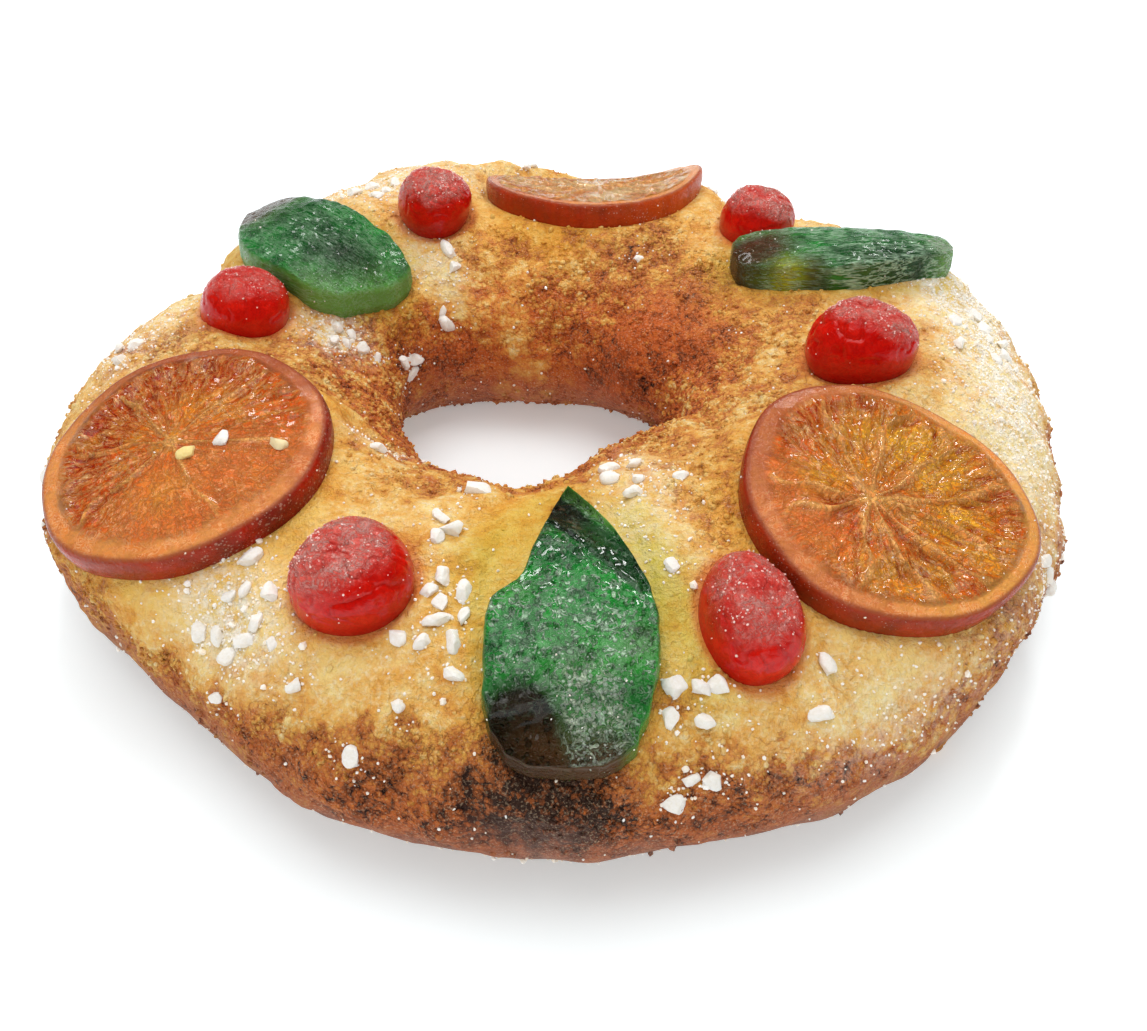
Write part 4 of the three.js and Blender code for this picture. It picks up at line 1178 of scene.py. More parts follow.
class KINGCAKE_OT_dough(PieceOperator, bpy.types.Operator):
    """Build the ring of dough with its crumbly crust"""

    bl_idname = "kingcake.dough"
    bl_label = "Dough ring"

    def build(self, scene):
        look = scene.king_cake_dough
        dough = primitive(
            bpy.ops.mesh.primitive_grid_add, "dough", x_subdivisions=DOUGH_ROUNDS,
            y_subdivisions=DOUGH_STEPS, size=0.2,
        )
        angle = np.arange(DOUGH_ROUNDS)[None] / DOUGH_ROUNDS * TURN
        top = DOUGH_STEPS - UNDERSIDE_STEPS
        across = np.minimum(np.arange(DOUGH_STEPS) / top, 1)[:, None]
        points = crust_point(angle, across)
        under = np.arange(1, UNDERSIDE_STEPS)[:, None, None] / UNDERSIDE_STEPS
        points[top + 1:] = points[top] * (1 - under) + points[0] * under
        degrees, share = np.broadcast_arrays(np.degrees(angle), across)
        calm = np.clip(patches(SMOOTH_PATCHES, degrees, share), 0, 1)
        normal = unit(np.cross(np.roll(points, -1, 1) - np.roll(points, 1, 1),
                               np.roll(points, -1, 0) - np.roll(points, 1, 0)))
        free = smooth_step(0.0, 0.05, share) * smooth_step(0.0, 0.05, 1 - share)
        warped = points + 1.4 * np.stack([noise(points, 4, seed) for seed in (1, 2, 3)], axis=-1)
        clumps = granules(warped, 6.2, 8) - 0.6
        crumbs = granules(warped, 3.1, 21) - 0.6
        bake = np.interp(share, BAKE_SHARES, BAKE_LEVELS) + patches(BAKE_PATCHES, degrees, share)
        bake = bake + 0.06 * rough(points, 14, 31, 2)
        coarse = 0.45 + 0.55 * smooth_step(0.22, 0.5, bake + 0.12 * rough(points, 9, 41, 2))
        foot = 1 - smooth_step(0.1, 0.22 + 0.04 * noise(points, 12, 5), share)
        foot = foot + 0.45 * smooth_step(0.8, 0.9, share + 0.03 * noise(points, 10, 6)) * (share < 1)
        busy = (1 - 0.85 * calm) * coarse * (1 - 0.85 * foot)
        relief = rough(points, 8.0, 3, 2) * look.lump_height
        relief = (relief + (clumps * look.clump_height + crumbs * look.grain_height) * busy) * 1000 * free
        covered = nearness(points, ALL_FRUIT, 1.2)
        relief = relief * (1 - covered) - 0.5 * covered
        points = points + normal * relief[..., None]
        points[..., 2] = np.maximum(points[..., 2], 0)
        lay(dough, wrapped(points))
        # Painted light and shade on the relief: darker between the clumps and crumbs, lighter on their tops.
        bake = bake - (0.26 * clumps + 0.2 * crumbs) * busy * (1 - 0.6 * smooth_step(0.65, 0.95, bake))
        near = nearness(points, FLAT_FRUIT, 9) * 0.55 + nearness(points, CHERRIES, 6) * 0.4
        stain = patches(GREEN_PATCHES, degrees, share) + nearness(points, RINDS, 4) * 0.35
        walls = smooth_step(0.58, 0.72, share) + 0.6 * (1 - smooth_step(0.16, 0.3, share))
        marks = {
            "bake": bake,
            "syrup": near + patches(SYRUP_PATCHES, degrees, share),
            "green_stain": stain * smooth_step(0.28, 0.34, share),
            "red_stain": nearness(points, CHERRIES, 2.2),
            "white_sugar": patches(SUGAR_PATCHES, degrees, share),
            "smoothness": 1 - busy,
            "foot": foot,
            "warm": walls,
            "share": share,
        }
        for name, values in marks.items():
            give(dough, name, wrapped(np.clip(values, 0, 1)).reshape(-1))
        bpy.ops.object.mode_set(mode="EDIT")
        bpy.ops.mesh.select_all(action="SELECT")
        bpy.ops.mesh.remove_doubles(threshold=1e-6)
        bpy.ops.object.mode_set(mode="OBJECT")
        smooth(dough)
        dress(dough, look_up("baked_dough", crust_material, look), "crust", "dough_ring")


class KINGCAKE_OT_stray_crumb(PieceOperator, bpy.types.Operator):
    """Build the stray lump of crust at the foot of the ring"""

    bl_idname = "kingcake.stray_crumb"
    bl_label = "Stray crumb"

    def build(self, scene):
        crumb = primitive(
            bpy.ops.mesh.primitive_ico_sphere_add, "stray_crumb", subdivisions=5, radius=0.003
        )
        points = unit(read_points(crumb.data))
        points = points * (1 + 0.16 * rough(points, 0.9, 5, 3))[:, None] * CRUMB["half"]
        bearing = math.radians(CRUMB["degrees"])
        points = points @ np.array(Matrix.Rotation(bearing, 3, "Z")).T
        points += np.array([math.cos(bearing), math.sin(bearing), 0]) * CRUMB["radius"]
        points[:, 2] = np.maximum(points[:, 2] + CRUMB["half"][2] * 0.7, 0)
        lay(crumb, points)
        count = len(points)
        give(crumb, "bake", 0.42 + 0.12 * rough(points, 2, 3, 2))
        give(crumb, "syrup", np.full(count, 0.5))
        for name in ("green_stain", "red_stain", "white_sugar", "smoothness", "foot", "warm"):
            give(crumb, name, np.zeros(count))
        smooth(crumb)
        dress(crumb, look_up("baked_dough", crust_material, scene.king_cake_dough), "crust")


# How finely the balls that the fruit is shaped from are divided: round them and down them.
SLICE_MESH = (240, 120)
CHERRY_MESH = (160, 100)
RIND_MESH = (220, 120)


def round_ball(name, segments, rings):
    """A ball with the direction and the height share of each of its vertices, 0 at its top."""
    ball = primitive(
        bpy.ops.mesh.primitive_uv_sphere_add, name, segments=segments, ring_count=rings, radius=0.02
    )
    points = unit(read_points(ball.data))
    angle = np.arctan2(points[:, 1], points[:, 0])
    down = np.arccos(np.clip(points[:, 2], -1, 1)) / math.pi
    return ball, points, angle, down


def towards(angle, degrees, amount, low, high):
    """How much a side of a round piece faces a direction."""
    return amount * smooth_step(low, high, np.cos(angle - math.radians(degrees)))


class KINGCAKE_OT_orange_slices(PieceOperator, bpy.types.Operator):
    """Build the three candied orange slices"""

    bl_idname = "kingcake.orange_slices"
    bl_label = "Orange slices"

    def build(self, scene):
        for piece in SLICES:
            self.slice(piece, scene.king_cake_fruit)

    def slice(self, piece, look):
        looks = SLICE_LOOKS[piece["name"]]
        seed = looks["seed"]
        made, _, angle, down = round_ball(piece["name"] + "_candied", *SLICE_MESH)
        half = np.array(piece["half"])
        centre = np.array(looks["centre"])
        compass = np.stack([np.cos(angle), np.sin(angle), 0 * angle], -1)
        wobble = 1 + 0.012 * np.sin(3 * angle + seed) + 0.008 * np.sin(7 * angle + 2 * seed)
        rim = compass[:, :2] * half * wobble[:, None]
        wide = sum(towards(angle, *each, -0.5, 0.9) for each in looks["wide"])
        band = PEEL_WIDTH - 0.7 + wide + 0.6 * rough(compass * 10, 3.5, seed, 3)
        inside = 1 - band / half[0]
        # Down the ball: the flesh, the band of peel, the side and the underside.
        knots = [0.72, 0.745, 0.77, 0.81, 0.85, 0.875, 0.89, 1]
        radii = [0.97, 0.987, 0.996, 1, 0.985, 0.965, 0.93, 0]
        radius = np.interp(down, knots, radii)
        peel_share = np.interp(down, [0.62, 0.65, 0.72], [0, 0.3, 1])
        radius = np.where(down < 0.72, inside + (0.97 - inside) * peel_share, radius)
        knots = [0, 0.62, 0.65, 0.72, 0.745, 0.77, 0.81, 0.85, 0.875, 0.89, 1]
        heights = [7.0, 7.0, 7.05, 6.95, 6.6, 6.0, 4.2, 1.2, 0.3, 0, 0]
        z = np.interp(down, knots, heights)
        share = np.clip(down / 0.62, 0, 1)
        flesh = 1 - smooth_step(0.6, 0.66, down)
        edge = rim * inside[:, None]
        top = centre + (edge - centre) * share[:, None]
        flat = np.where((down < 0.62)[:, None], top, rim * radius[:, None])
        x, y = flat[:, 0], flat[:, 1]
        bearing = np.degrees(np.arctan2(edge[:, 1] - centre[1], edge[:, 0] - centre[0]))
        reach = np.hypot(x - centre[0], y - centre[1])
        calm = np.clip(spots(looks["calm"], x, y), 0, 1)
        dark = np.clip(spots(looks["dark"], x, y), 0, 1)
        membrane = np.zeros(len(x))
        nearest = np.full(len(x), 99.0)
        for i, (start, end) in enumerate(looks["membranes"]):
            swing = (start - end + 180) % 360 - 180
            sway = (3.0 + 3.0 * np.sin(i)) * np.sin(share * 9 + i * 2.1) * share
            line = end + swing * (1 - share) ** 1.4 + sway
            away = np.radians((bearing - line + 180) % 360 - 180)
            distance = np.abs(np.sin(away)) * reach + np.where(np.cos(away) < 0, 99, 0)
            thick = looks["wall"] * (0.9 + 0.5 * np.sin(share * 11 + i * 1.7))
            membrane = np.maximum(membrane, np.exp(-((distance / thick) ** 2)))
            nearest = np.minimum(nearest, distance - thick)
        membrane = np.maximum(membrane, 1 - smooth_step(0.8, 2.4, reach)) * flesh
        spoke = np.stack([np.cos(np.radians(bearing)), np.sin(np.radians(bearing)), share * 0.35], -1)
        flat_place = np.stack([x, y, 0 * x], -1)
        shrunk = np.exp(-(((nearest - 1.2) / 0.9) ** 2)) * smooth_step(0.2, 0.45, share) * looks["groove"]
        shrunk = shrunk * smooth_step(-0.5, 0.3, rough(flat_place, 5, seed + 7, 2)) * (1 - calm)
        fibres = np.abs(rough(spoke, 0.12, seed, 2))
        wrinkles = rough(flat_place, 2.2, seed + 5, 2)
        depth = looks["depth"]
        fading = 1 - smooth_step(0.8, 1.0, share + 0.1 * rough(compass * 10, 1.6, seed + 3, 2))
        sunk = (depth + 0.8 * dark - 0.55 * depth * calm) * (1 - 0.85 * membrane) * smooth_step(0, 0.2, share)
        sunk = (sunk + 0.7 * shrunk) * fading * flesh
        ripple = (0.75 * share * (fibres - 0.3) + 0.35 * wrinkles) * (1 - calm) * (1 - 0.7 * membrane)
        z = z - sunk + flesh * ripple * smooth_step(0.05, 0.3, share)
        z = z + membrane * flesh * 0.3
        points = np.stack([x, y, z], -1)
        points[:, 2] += 0.16 * rough(points, 5, seed, 2) * smooth_step(1, 4, z) + bend(piece, x, y)
        side = smooth_step(0.725, 0.76, down)
        peel = smooth_step(0.6, 0.63, down)
        outline = smooth_step(0.7, 0.73, down) + towards(angle, *looks["browned"], 0.1, 0.9) * peel
        frost = side * towards(angle, *looks["frosted"], 0.3, 0.9) + 0.25 * side * smooth_step(3, 6, z)
        marks = {
            "flesh": flesh,
            "membrane": membrane,
            "peel": np.interp(down, [0.52, 0.62, 0.67], [0, 0.5, 1.2]),
            "side": side,
            "rim": outline,
            "pale_peel": towards(angle, *looks["pale"], -0.6, 0.4),
            # Dark spots of the pulp, plus painted shade in the shrunken grooves beside the membranes.
            "dark": (dark + shrunk) * flesh * (1 - membrane),
            "calm": calm,
            "glint": spots(looks["glint"], x, y) * flesh * (1 - membrane),
            "frost": frost * (1 + noise(points, 7, 3)),
            "glaze": np.clip(looks["glaze"] * (1 + 0.8 * rough(points, 6, seed + 9, 2)), 0, 1) * (1 - side),
            "amber": towards(angle, *looks["amber"], -0.2, 0.8) + looks["orange"],
        }
        for name, values in marks.items():
            give(made, name, np.clip(values, 0, 1.3 if name == "peel" else 1))
        give(made, "spoke", spoke)
        lay(made, moved(points, piece["place"]))
        smooth(made)
        dress(made, look_up("orange_flesh", orange_material, look), "candied_orange", piece["name"])


class KINGCAKE_OT_cherries(PieceOperator, bpy.types.Operator):
    """Build the six glazed cherries"""

    bl_idname = "kingcake.cherries"
    bl_label = "Glazed cherries"

    def build(self, scene):
        for seed, piece in enumerate(CHERRIES):
            self.cherry(piece, seed, scene.king_cake_fruit)

    def cherry(self, piece, seed, look):
        made, points, angle, _ = round_ball(piece["name"] + "_glazed", *CHERRY_MESH)
        x, y, z = points.T
        side = np.hypot(x, y)
        wrinkle = 0.03 * np.sin(3 * angle + piece["at"][0]) * side + 0.02 * np.sin(5 * z + angle)
        dimple = np.where(z > 0, 0.12 * np.exp(-((x - 0.2) ** 2 + y**2) * 8), 0)
        amount, facing = CHERRY_FROST[piece["name"]]
        faced = points @ unit(np.array(facing))
        frost = amount * smooth_step(0.2, 0.8, faced + 0.12 * rough(points, 0.5, seed, 2))
        creases = np.abs(rough(points * (1, 1, 0.7), 0.3, 40 + seed, 2))
        crumpled = smooth_step(-0.1, 0.5, z) * (0.25 + 0.75 * amount)
        shell = (1 + wrinkle) * (1 - dimple) - 0.045 * (1 - smooth_step(0, 0.2, creases)) * crumpled
        shell = shell + 0.02 * rough(points, 0.18, 50 + seed, 2) * crumpled
        local = points * shell[:, None] * piece["half"]
        give(made, "frost", frost)
        # Painted shade, growing towards the underside.
        give(made, "deep", 0.55 * smooth_step(0.3, -0.5, z))
        lay(made, moved(local, piece["place"]))
        smooth(made)
        dress(made, look_up("cherry_flesh", cherry_material, look), "glazed_cherry", piece["name"])


# The rinds: how far the left and right sides of the outline reach from its middle line, from the blunt end to
# the tip, as shares of the half sizes, and marks as spots: (along, across, spread, amount). Then how bubbly
# and streaked the top is, how pale the cut sides are, how short the blunt end is and whether the tip has a
# facet.
RIND_LOOKS = {
    "green_rind_front": dict(
        left=([-1, -0.985, -0.92, -0.78, -0.58, -0.36, -0.09, 0.04, 0.09, 0.14, 0.2, 0.35, 0.5, 0.67,
               0.88, 1],
              [0, 0.4, 0.66, 0.85, 0.95, 0.98, 0.98, 0.9, 0.77, 0.65, 0.57, 0.49, 0.38, 0.25, 0.1, 0]),
        right=([-1, -0.985, -0.93, -0.87, -0.61, -0.4, -0.1, 0.13, 0.38, 0.62, 0.86, 1],
               [0, 0.4, 0.6, 0.71, 0.89, 0.95, 0.97, 0.87, 0.66, 0.44, 0.16, 0]),
        # The dark spots at the sunken blunt end, about x = -20, are painted shade in its hollow.
        dark=[(25, 0, 4, 0.7), (-19, 9, 3.5, 1), (-20, 5, 3, 1), (-24, 7, 4, 1), (12, 2, 3, 0.4),
              (-28, 2, 3, 0.7)],
        light=[(-8, -12, 3, 0.25), (2, 9, 2.5, 0.2), (-13, -2, 6, 0.15)],
        brown=[(-27, -4, 4, 0.8), (-25, 3, 4, 0.6), (-23, 8, 4, 0.5), (-24, -8, 3, 0.6)],
        yellow=[],
        frost=[(-20, -6, 4, 1), (-24, -1, 3.5, 0.9), (-16, -1, 4, 0.6), (-12, 9, 2.5, 0.5), (-2, 0, 8, 0.12),
               (-8, -6, 7, 0.2), (-27, 2, 3, 0.4)],
        bubbly=1.0,
        streaky=0.0,
        cut=0.3,
        short=0.9,
        faceted=True,
    ),
    "green_rind_back_left": dict(
        left=([-1, -0.985, -0.93, -0.79, -0.65, -0.45, -0.2, 0.05, 0.25, 0.42, 0.6, 0.76, 0.92, 1],
              [0, 0.12, 0.36, 0.8, 0.96, 1.04, 1.06, 1.06, 1.02, 0.92, 0.7, 0.44, 0.16, 0]),
        right=([-1, -0.985, -0.93, -0.77, -0.59, -0.34, -0.1, 0.2, 0.42, 0.6, 0.78, 0.9, 0.97, 1],
               [0, 0.34, 0.5, 0.6, 0.68, 0.68, 0.72, 0.74, 0.66, 0.66, 0.64, 0.56, 0.36, 0]),
        dark=[(-6, 6, 8, 0.5), (-14, 2, 6, 0.55), (4, -4, 6, 0.4), (12, 4, 6, 0.3)],
        light=[(-20, 15, 6, 0.5), (-25, 4, 5, 0.6), (-14, 17, 4, 0.4)],
        brown=[(23, -3, 6, 1), (17, 5, 4, 0.5), (24, 6, 4, 0.7), (19, -9, 4, 0.8)],
        yellow=[],
        frost=[(-12, 10, 6, 0.35), (14, 8, 5, 0.3)],
        bubbly=0.35,
        streaky=0.25,
        cut=0.6,
    ),
    "green_rind_back_right": dict(
        left=([-1, -0.97, -0.9, -0.75, -0.46, -0.16, 0.24, 0.68, 0.93, 0.98, 1],
              [0, 0.55, 0.86, 1.04, 1.08, 1.02, 0.88, 0.66, 0.5, 0.34, 0]),
        right=([-1, -0.97, -0.9, -0.6, -0.2, 0.07, 0.41, 0.72, 0.9, 0.97, 1],
               [0, 0.42, 0.6, 0.72, 0.76, 0.74, 0.56, 0.4, 0.34, 0.24, 0]),
        dark=[(2, -9, 5, 0.6), (12, -8, 5, 0.7), (20, -5, 4, 0.4)],
        light=[(25, 0, 3, 1), (25, -4, 3, 0.9), (4, -12, 3, 0.6)],
        brown=[(-24, -2, 5.5, 1), (-18, 0, 4.5, 0.75), (-9, -9.5, 2.5, 0.7)],
        yellow=[(-15, -10, 2.6, 0.9)],
        frost=[(25, -2, 3.5, 1), (14, 3, 7, 0.3), (-14, 5, 6, 0.3)],
        bubbly=0.3,
        streaky=1.0,
        cut=0.2,
    ),
}


class KINGCAKE_OT_green_rinds(PieceOperator, bpy.types.Operator):
    """Build the three wedges of candied green rind"""

    bl_idname = "kingcake.green_rinds"
    bl_label = "Green rinds"

    def build(self, scene):
        for seed, piece in enumerate(RINDS):
            self.rind(piece, seed, scene.king_cake_fruit)

    def rind(self, piece, seed, look):
        looks = RIND_LOOKS[piece["name"]]
        made, _, angle, down = round_ball(piece["name"] + "_candied", *RIND_MESH)
        half_x, half_y = piece["half"]
        thick = RIND_THICKNESS
        knots = [0, 0.2, 0.44, 0.54, 0.57, 0.6, 0.7, 0.8, 0.85, 1]
        radii = [0, 0.42, 0.86, 0.965, 0.985, 0.993, 1.0, 0.96, 0.9, 0]
        heights = [thick * share for share in (1.04, 1.03, 1.01, 0.99, 0.95, 0.88, 0.5, 0.06, 0, 0)]
        radius = np.interp(down, knots, radii)
        z = np.interp(down, knots, heights)
        along = np.cos(angle)
        ragged = 1 + 0.025 * rough(np.stack([along * 30, np.sin(angle) * 30, 0 * along], -1), 4, 80 + seed, 2)
        x = along * radius * np.where(along < 0, looks.get("short", 1), 1)
        sides = [np.interp(along, *looks[key]) for key in ("left", "right")]
        side_reach = np.where(np.sin(angle) > 0, *sides) * half_y * ragged
        y = np.sign(np.sin(angle)) * radius * side_reach + piece["bow"] * (1 - x**2)
        x = x * half_x
        points = np.stack([x, y, z], -1)
        top = 1 - smooth_step(0.52, 0.58, down)
        side = 1 - top
        pits = granules(points, 2.6, 30 + seed)
        lift = 0.35 * rough(points, 7, 60 + seed, 2) + 0.2 * rough(points, 1.9, 70 + seed, 2)
        points[:, 2] += top * (lift + 0.35 * looks["bubbly"] * (pits - 0.6))
        marks = {key: spots(looks[key], x, y) if looks[key] else 0 * x
                 for key in ("dark", "light", "brown", "yellow", "frost")}
        if looks.get("faceted"):
            self.facet(points, marks, top)
            marks["frost"] *= 1 - marks["dark"].clip(0, 1)
        points[:, 2] += bend(piece, x, y)
        marks["light"] = marks["light"] + looks["cut"] * side * (1 - marks["dark"].clip(0, 1))
        marks["frost"] = marks["frost"] * (top + 0.3)
        marks["bubbly"] = looks["bubbly"] * top
        marks["streaky"] = np.full(len(x), looks["streaky"])
        for name, values in marks.items():
            give(made, name, np.clip(values, 0, 1))
        give(made, "local", points)
        lay(made, moved(points, piece["place"]))
        smooth(made)
        dress(made, look_up("rind_flesh", rind_material, look), "green_rind", piece["name"])

    def facet(self, points, marks, top):
        """The dark cut facet by the tip, the crease along it and the sunken blunt end of the front rind."""
        x, y = points[:, 0], points[:, 1]
        beyond = (x - 13.9) * 0.7 - (y - 0.7) * 0.71
        facet = smooth_step(-0.4, 1.0, beyond) * (x > 2)
        crease = 0.24 * np.maximum(beyond, 0) + 0.8 * np.exp(-((beyond / 0.8) ** 2))
        points[:, 2] -= crease * facet.clip(0.3, 1) * top
        marks["dark"] += 0.75 * facet * (1 - smooth_step(6.5, 9, beyond))
        marks["light"] += 0.9 * facet * smooth_step(7, 9.5, beyond)
        marks["frost"] *= 1 - facet
        sunken = smooth_step(-15.5, -18.5, x + 0.25 * y)
        points[:, 2] -= sunken * (2.2 + 1.6 * smooth_step(-2, 6, y)) * top
        points[:, 2] -= 0.5 * smooth_step(-20, -28, x) * top


def lies(point, piece, margin):
    """Whether a point of the crust is under a piece of fruit or within a margin of it."""
    local = moved(point, np.linalg.inv(piece["place"]))
    x = abs(local[0]) / (piece["half"][0] + margin)
    y = abs(local[1]) / (piece["half"][1] + margin)
    power = 3 if "blunt" in piece else 2
    return x**power + y**power < 1


def nib_places():
    """Where the nibs lie: each group is filled at random, clear of the fruit."""
    random = seeded(20)
    places = []
    for degrees, share, spread, count in NIB_GROUPS:
        left = count
        for _ in range(NIB_TRIES * count):
            if left == 0:
                break
            away = spread * math.sqrt(next(random))
            bearing = TURN * next(random)
            angle = math.radians(degrees) + away * math.cos(bearing) / GROUP_RADIUS
            across = share + away * math.sin(bearing) / GROUP_LENGTH
            point = crust_point(np.float64(angle), np.float64(across))
            crowded = any(np.linalg.norm(point - other["point"]) < NIB_APART for other in places)
            if crowded or any(lies(point, piece, NIB_HALF[0]) for piece in ALL_FRUIT):
                continue
            turn = TURN * next(random)
            size = 0.8 + 0.45 * next(random)
            normal = ring_normal(angle, across)
            places.append(dict(point=point, normal=normal, turn=turn, size=size, tint=0.0))
            left -= 1
    return places


def slice_nib_places():
    """Where the three nibs on the left slice lie."""
    piece = SLICES[0]
    places = []
    for i, (x, y, tint) in enumerate(SLICE_NIBS):
        local = np.array([x, y, SLICE_THICKNESS - 0.45 + bend(piece, x, y)])
        places.append(dict(point=moved(local, piece["place"]), normal=piece["place"][:3, 2], turn=i + 0.5,
                           size=1.1, tint=tint))
    return places


class KINGCAKE_OT_pearl_sugar(PieceOperator, bpy.types.Operator):
    """Build the nibs of pearl sugar on the crust and on the left slice"""

    bl_idname = "kingcake.pearl_sugar"
    bl_label = "Pearl sugar"

    def build(self, scene):
        nibs = primitive(
            bpy.ops.mesh.primitive_ico_sphere_add, "pearl_sugar_nibs", subdivisions=3, radius=0.002
        )
        shape = unit(read_points(nibs.data))
        faces = read_triangles(nibs.data)
        random = np.random.default_rng(7)
        points, corners, tints = [], [], []
        for i, place in enumerate(nib_places() + slice_nib_places()):
            one = shape * 1.12
            for facing in unit(random.normal(size=(9, 3))):
                over = np.maximum(one @ facing - random.uniform(0.55, 0.9), 0)
                one = one - over[:, None] * facing
            one = one * (1 + 0.13 * rough(shape, 0.6, 90 + i, 2))[:, None]
            one = one * NIB_HALF * random.uniform(0.8, 1.15, 3) * place["size"] * 0.95
            one = one @ np.array(Matrix.Rotation(place["turn"], 3, "Z")).T
            tilt = Vector((0, 0, 1)).rotation_difference(Vector(place["normal"])).to_matrix()
            one = one @ np.array(tilt).T + place["point"] + place["normal"] * NIB_LIFT
            points.append(one)
            corners.append(faces + i * len(shape))
            tints.append(np.full(len(shape), place["tint"]))
        mesh = bpy.data.meshes.new("pearl_sugar_nibs")
        mesh.from_pydata(np.concatenate(points).tolist(), [], np.concatenate(corners).tolist())
        nibs.data = mesh
        lay(nibs, np.concatenate(points))
        give(nibs, "tint", np.concatenate(tints))
        smooth(nibs)
        bpy.ops.object.shade_smooth_by_angle(angle=math.radians(30))
        dress(nibs, look_up("pearl_sugar", sugar_material, scene.king_cake_sugar), "crust")


class KINGCAKE_OT_sugar_crystals(PieceOperator, bpy.types.Operator):
    """Build the fine sugar crystals on the crust"""

    bl_idname = "kingcake.sugar_crystals"
    bl_label = "Sugar crystals"

    def build(self, scene):
        look = scene.king_cake_sugar
        dough = bpy.data.objects["dough"]
        share, white = take(dough, "share"), take(dough, "white_sugar")
        random = np.random.default_rng(11)
        feet = np.exp(-(((share - 0.07) / 0.04) ** 2)) + np.exp(-(((1 - share) / 0.06) ** 2))
        points = read_points(dough.data) * 1000 - CENTRE_SHIFT
        near = np.zeros(len(points))
        for place in nib_places():
            near = np.maximum(near, np.exp(-(((points - place["point"]) ** 2).sum(axis=1)) / 14))
        density = (0.08 + 6 * white + 1.2 * feet + 2.5 * near) * (share < 1)
        place, normal, _ = places_on(dough, density, look.crystals, random)
        crystals = primitive(
            bpy.ops.mesh.primitive_ico_sphere_add, "sugar_crystal_bits", subdivisions=1, radius=0.001
        )
        size = look.crystal * 500 * random.uniform(0.4, 1.15, len(place))
        size = np.where(random.random(len(place)) < 0.03, size * 2.2, size)
        scatter(crystals, place, normal, size, (0.8, 1.2), 0.3, random)
        dress(crystals, look_up("sugar_crystals", crystal_material, look), "crust")


class KINGCAKE_OT_crust_crumbs(PieceOperator, bpy.types.Operator):
    """Build the loose crumbs of crust on the ring"""

    bl_idname = "kingcake.crust_crumbs"
    bl_label = "Crust crumbs"

    def build(self, scene):
        look = scene.king_cake_sugar
        dough = bpy.data.objects["dough"]
        share, calm = take(dough, "share"), take(dough, "smoothness")
        random = np.random.default_rng(12)
        clumps = np.clip(rough(read_points(dough.data) * 1000, 9, 77, 2) + 0.35, 0, 1)
        density = (0.15 + clumps**2) * (1.05 - calm) * (share < 1) * smooth_step(0.1, 0.28, share)
        density = density * (0.08 + smooth_step(0.24, 0.42, take(dough, "bake")))
        place, normal, nearest = places_on(dough, density, look.crumbs, random)
        crumbs = primitive(
            bpy.ops.mesh.primitive_ico_sphere_add, "crust_crumb_bits", subdivisions=1, radius=0.001
        )
        size = look.crumb * 500 * random.uniform(0.4, 1.4, len(place)) ** 1.4
        owner = scatter(crumbs, place, normal, size, (0.7, 1.2), -0.1, random)
        jitter = random.uniform(-0.16, 0.06, len(place))
        give(crumbs, "bake", np.clip(take(dough, "bake")[nearest] + jitter, 0, 1)[owner])
        for name in ("syrup", "green_stain", "red_stain", "white_sugar", "smoothness", "foot", "warm"):
            give(crumbs, name, take(dough, name)[nearest][owner])
        smooth(crumbs)
        dress(crumbs, look_up("baked_dough", crust_material, scene.king_cake_dough), "crust")


class KINGCAKE_OT_fruit_frost(PieceOperator, bpy.types.Operator):
    """Build the grains of sugar that stick to the fruit"""

    bl_idname = "kingcake.fruit_frost"
    bl_label = "Sugar on the fruit"

    def build(self, scene):
        look = scene.king_cake_sugar
        random = np.random.default_rng(13)
        places, normals, pinkness = [], [], []
        for piece in ALL_FRUIT:
            cherry = piece in CHERRIES
            made = bpy.data.objects[piece["name"] + ("_glazed" if cherry else "_candied")]
            frost = take(made, "frost")
            local = moved(read_points(made.data) * 1000 - CENTRE_SHIFT, np.linalg.inv(piece["place"]))
            shown = smooth_step(0, 3, local[:, 2])
            count = int(14 + (260 if cherry else 70) * frost[shown > 0.5].mean())
            patchy = smooth_step(0.0, 0.5, rough(local, 2.6, 17, 2)) ** 2
            place, normal, _ = places_on(made, (0.02 + frost**1.5 * patchy) * shown, count, random)
            places.append(place)
            normals.append(normal)
            pinkness.append(np.full(count, float(cherry)) * random.uniform(0.4, 1.0, count))
        grains = primitive(
            bpy.ops.mesh.primitive_ico_sphere_add, "fruit_frost_bits", subdivisions=1, radius=0.001
        )
        place, normal = np.concatenate(places), np.concatenate(normals)
        size = look.crystal * 300 * random.uniform(0.4, 1.4, len(place))
        owner = scatter(grains, place, normal, size, (0.7, 1.2), 0.2, random)
        give(grains, "pinkness", np.concatenate(pinkness)[owner])
        dress(grains, look_up("sugar_crystals", crystal_material, look), "crust")


CAMERA_PLACE = (0.00309, -0.21243, 0.19117)
CAMERA_TARGET = (0.00309, -0.00908, 0.0)
FLOOR_SIZE = 8.0
FLOOR_DROP = 0.0003
FLOOR_GLOW_TINT = (0.93, 1, 1, 1)
SENSOR_WIDTH = 36
# Lamps: their names, places and sizes, and the setting that holds their power.
LAMPS = [
    ("lamp_above", (-0.04, 0.05, 0.8), 0.6, "lamp_power"),
    ("lamp_behind", (-0.14, 0.5, 0.52), 0.12, "glint_power"),
    ("lamp_behind_right", (0.28, 0.46, 0.5), 0.1, "glint_power"),
    ("lamp_front", (-0.25, -0.85, 0.42), 0.9, "fill_power"),
]


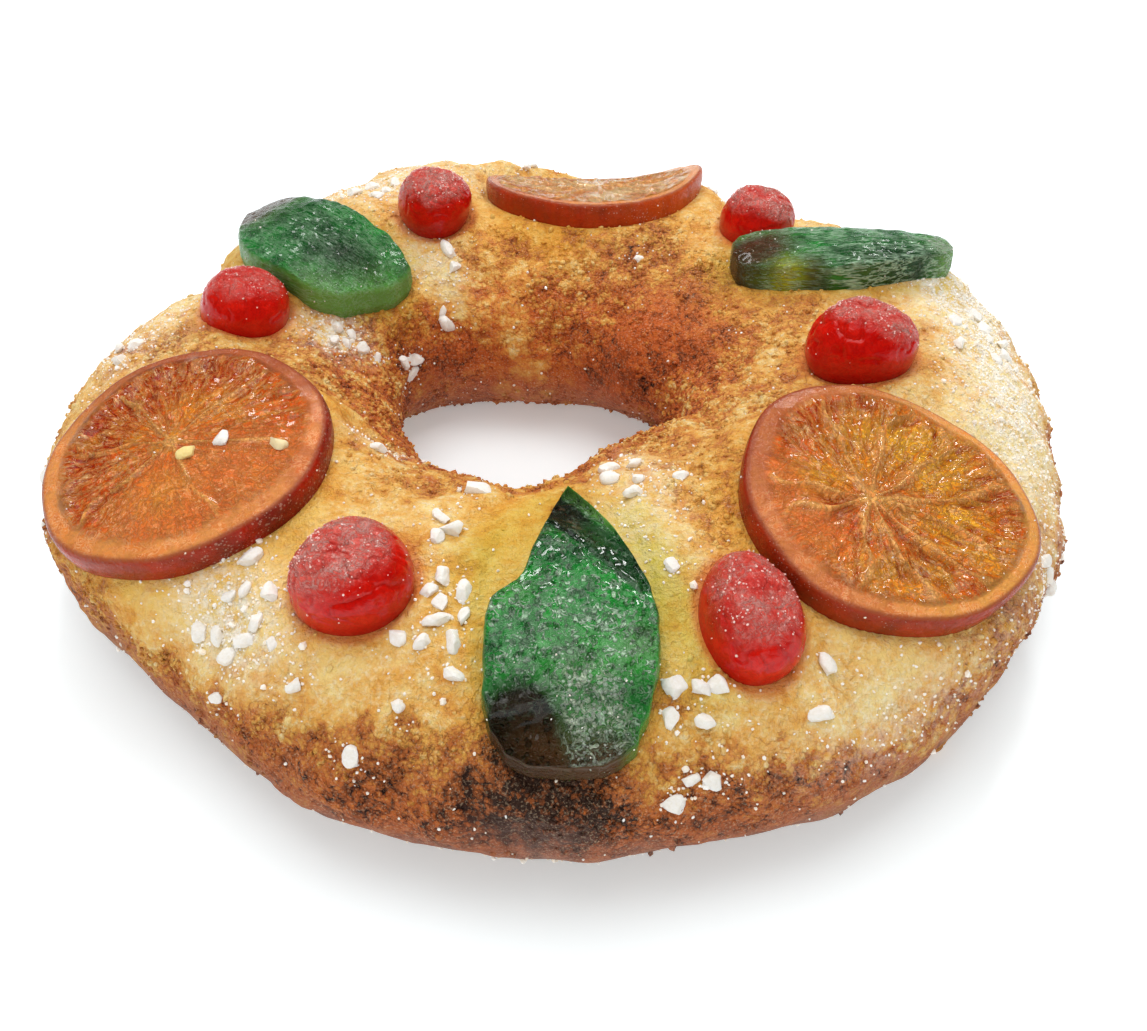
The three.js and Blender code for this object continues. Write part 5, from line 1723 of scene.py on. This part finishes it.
class KINGCAKE_OT_stage(PieceOperator, bpy.types.Operator):
    """Build the floor, the lamps and the camera"""

    bl_idname = "kingcake.stage"
    bl_label = "Stage"

    def build(self, scene):
        look = scene.king_cake_stage
        floor = primitive(
            bpy.ops.mesh.primitive_plane_add, "floor", size=FLOOR_SIZE, location=(0, 0, -FLOOR_DROP)
        )
        material, _, shader = start_material("floor", Roughness=0.6, Specular_IOR_Level=0.1)
        shader["Base Color"].default_value = rgba(look.floor)
        floor.data.materials.append(material)
        world = scene.world or bpy.data.worlds.new("sky")
        scene.world = world
        world.use_nodes = True
        sky = world.node_tree.nodes["Background"].inputs
        sky["Color"].default_value = (1, 1, 1, 1)
        sky["Strength"].default_value = look.sky
        shader["Emission Color"].default_value = FLOOR_GLOW_TINT
        shader["Emission Strength"].default_value = look.floor_glow
        world.cycles_visibility.glossy = False
        for name, place, size, power in LAMPS:
            self.lamp(name, place, size, getattr(look, power))
        bpy.data.objects["lamp_front"].visible_glossy = False
        data = bpy.data.cameras.new("camera")
        data.lens = look.focal_length
        data.sensor_width = SENSOR_WIDTH
        data.clip_start = 0.01
        camera = bpy.data.objects.new("camera", data)
        camera.location = CAMERA_PLACE
        facing = Vector(CAMERA_TARGET) - Vector(CAMERA_PLACE)
        camera.rotation_euler = facing.to_track_quat("-Z", "Y").to_euler()
        scene.collection.objects.link(camera)
        scene.camera = camera
        scene.view_settings.view_transform = "Standard"

    def lamp(self, name, place, size, power):
        bpy.ops.object.light_add(type="AREA", location=place)
        lamp = bpy.context.active_object
        lamp.name = name
        lamp.data.size = size
        lamp.data.energy = power
        lamp.rotation_euler = (-Vector(place)).to_track_quat("-Z", "Y").to_euler()


PIECES = [
    KINGCAKE_OT_dough,
    KINGCAKE_OT_stray_crumb,
    KINGCAKE_OT_orange_slices,
    KINGCAKE_OT_cherries,
    KINGCAKE_OT_green_rinds,
    KINGCAKE_OT_pearl_sugar,
    KINGCAKE_OT_sugar_crystals,
    KINGCAKE_OT_crust_crumbs,
    KINGCAKE_OT_fruit_frost,
    KINGCAKE_OT_stage,
]
SETTINGS = {
    "king_cake_dough": KingCakeDough,
    "king_cake_fruit": KingCakeFruit,
    "king_cake_sugar": KingCakeSugar,
    "king_cake_stage": KingCakeStage,
}


class KINGCAKE_PT_panel(bpy.types.Panel):
    """Lists the pieces of the king cake and their settings"""

    bl_label = "King cake"
    bl_space_type = "VIEW_3D"
    bl_region_type = "UI"
    bl_category = "King cake"

    def draw(self, context):
        for piece in PIECES:
            self.layout.operator(piece.bl_idname)
        for name, settings in SETTINGS.items():
            box = self.layout.box()
            box.label(text=settings.__doc__)
            for key in settings.__annotations__:
                box.prop(getattr(context.scene, name), key)


def register():
    for each in (*SETTINGS.values(), *PIECES, KINGCAKE_PT_panel):
        bpy.utils.register_class(each)
    for name, settings in SETTINGS.items():
        setattr(bpy.types.Scene, name, bpy.props.PointerProperty(type=settings))


def unregister():
    for name in SETTINGS:
        delattr(bpy.types.Scene, name)
    for each in (KINGCAKE_PT_panel, *PIECES, *SETTINGS.values()):
        bpy.utils.unregister_class(each)


def main():
    register()
    for piece in ALL_FRUIT:
        piece["place"] = seat(piece)
    crumb_grain_group()
    sugar_frost_group()
    gel_wrinkles_group()
    bpy.ops.kingcake.dough()
    bpy.ops.kingcake.stray_crumb()
    bpy.ops.kingcake.orange_slices()
    bpy.ops.kingcake.cherries()
    bpy.ops.kingcake.green_rinds()
    bpy.ops.kingcake.pearl_sugar()
    bpy.ops.kingcake.sugar_crystals()
    bpy.ops.kingcake.crust_crumbs()
    bpy.ops.kingcake.fruit_frost()
    bpy.ops.kingcake.stage()


if __name__ == "__main__":
    main()
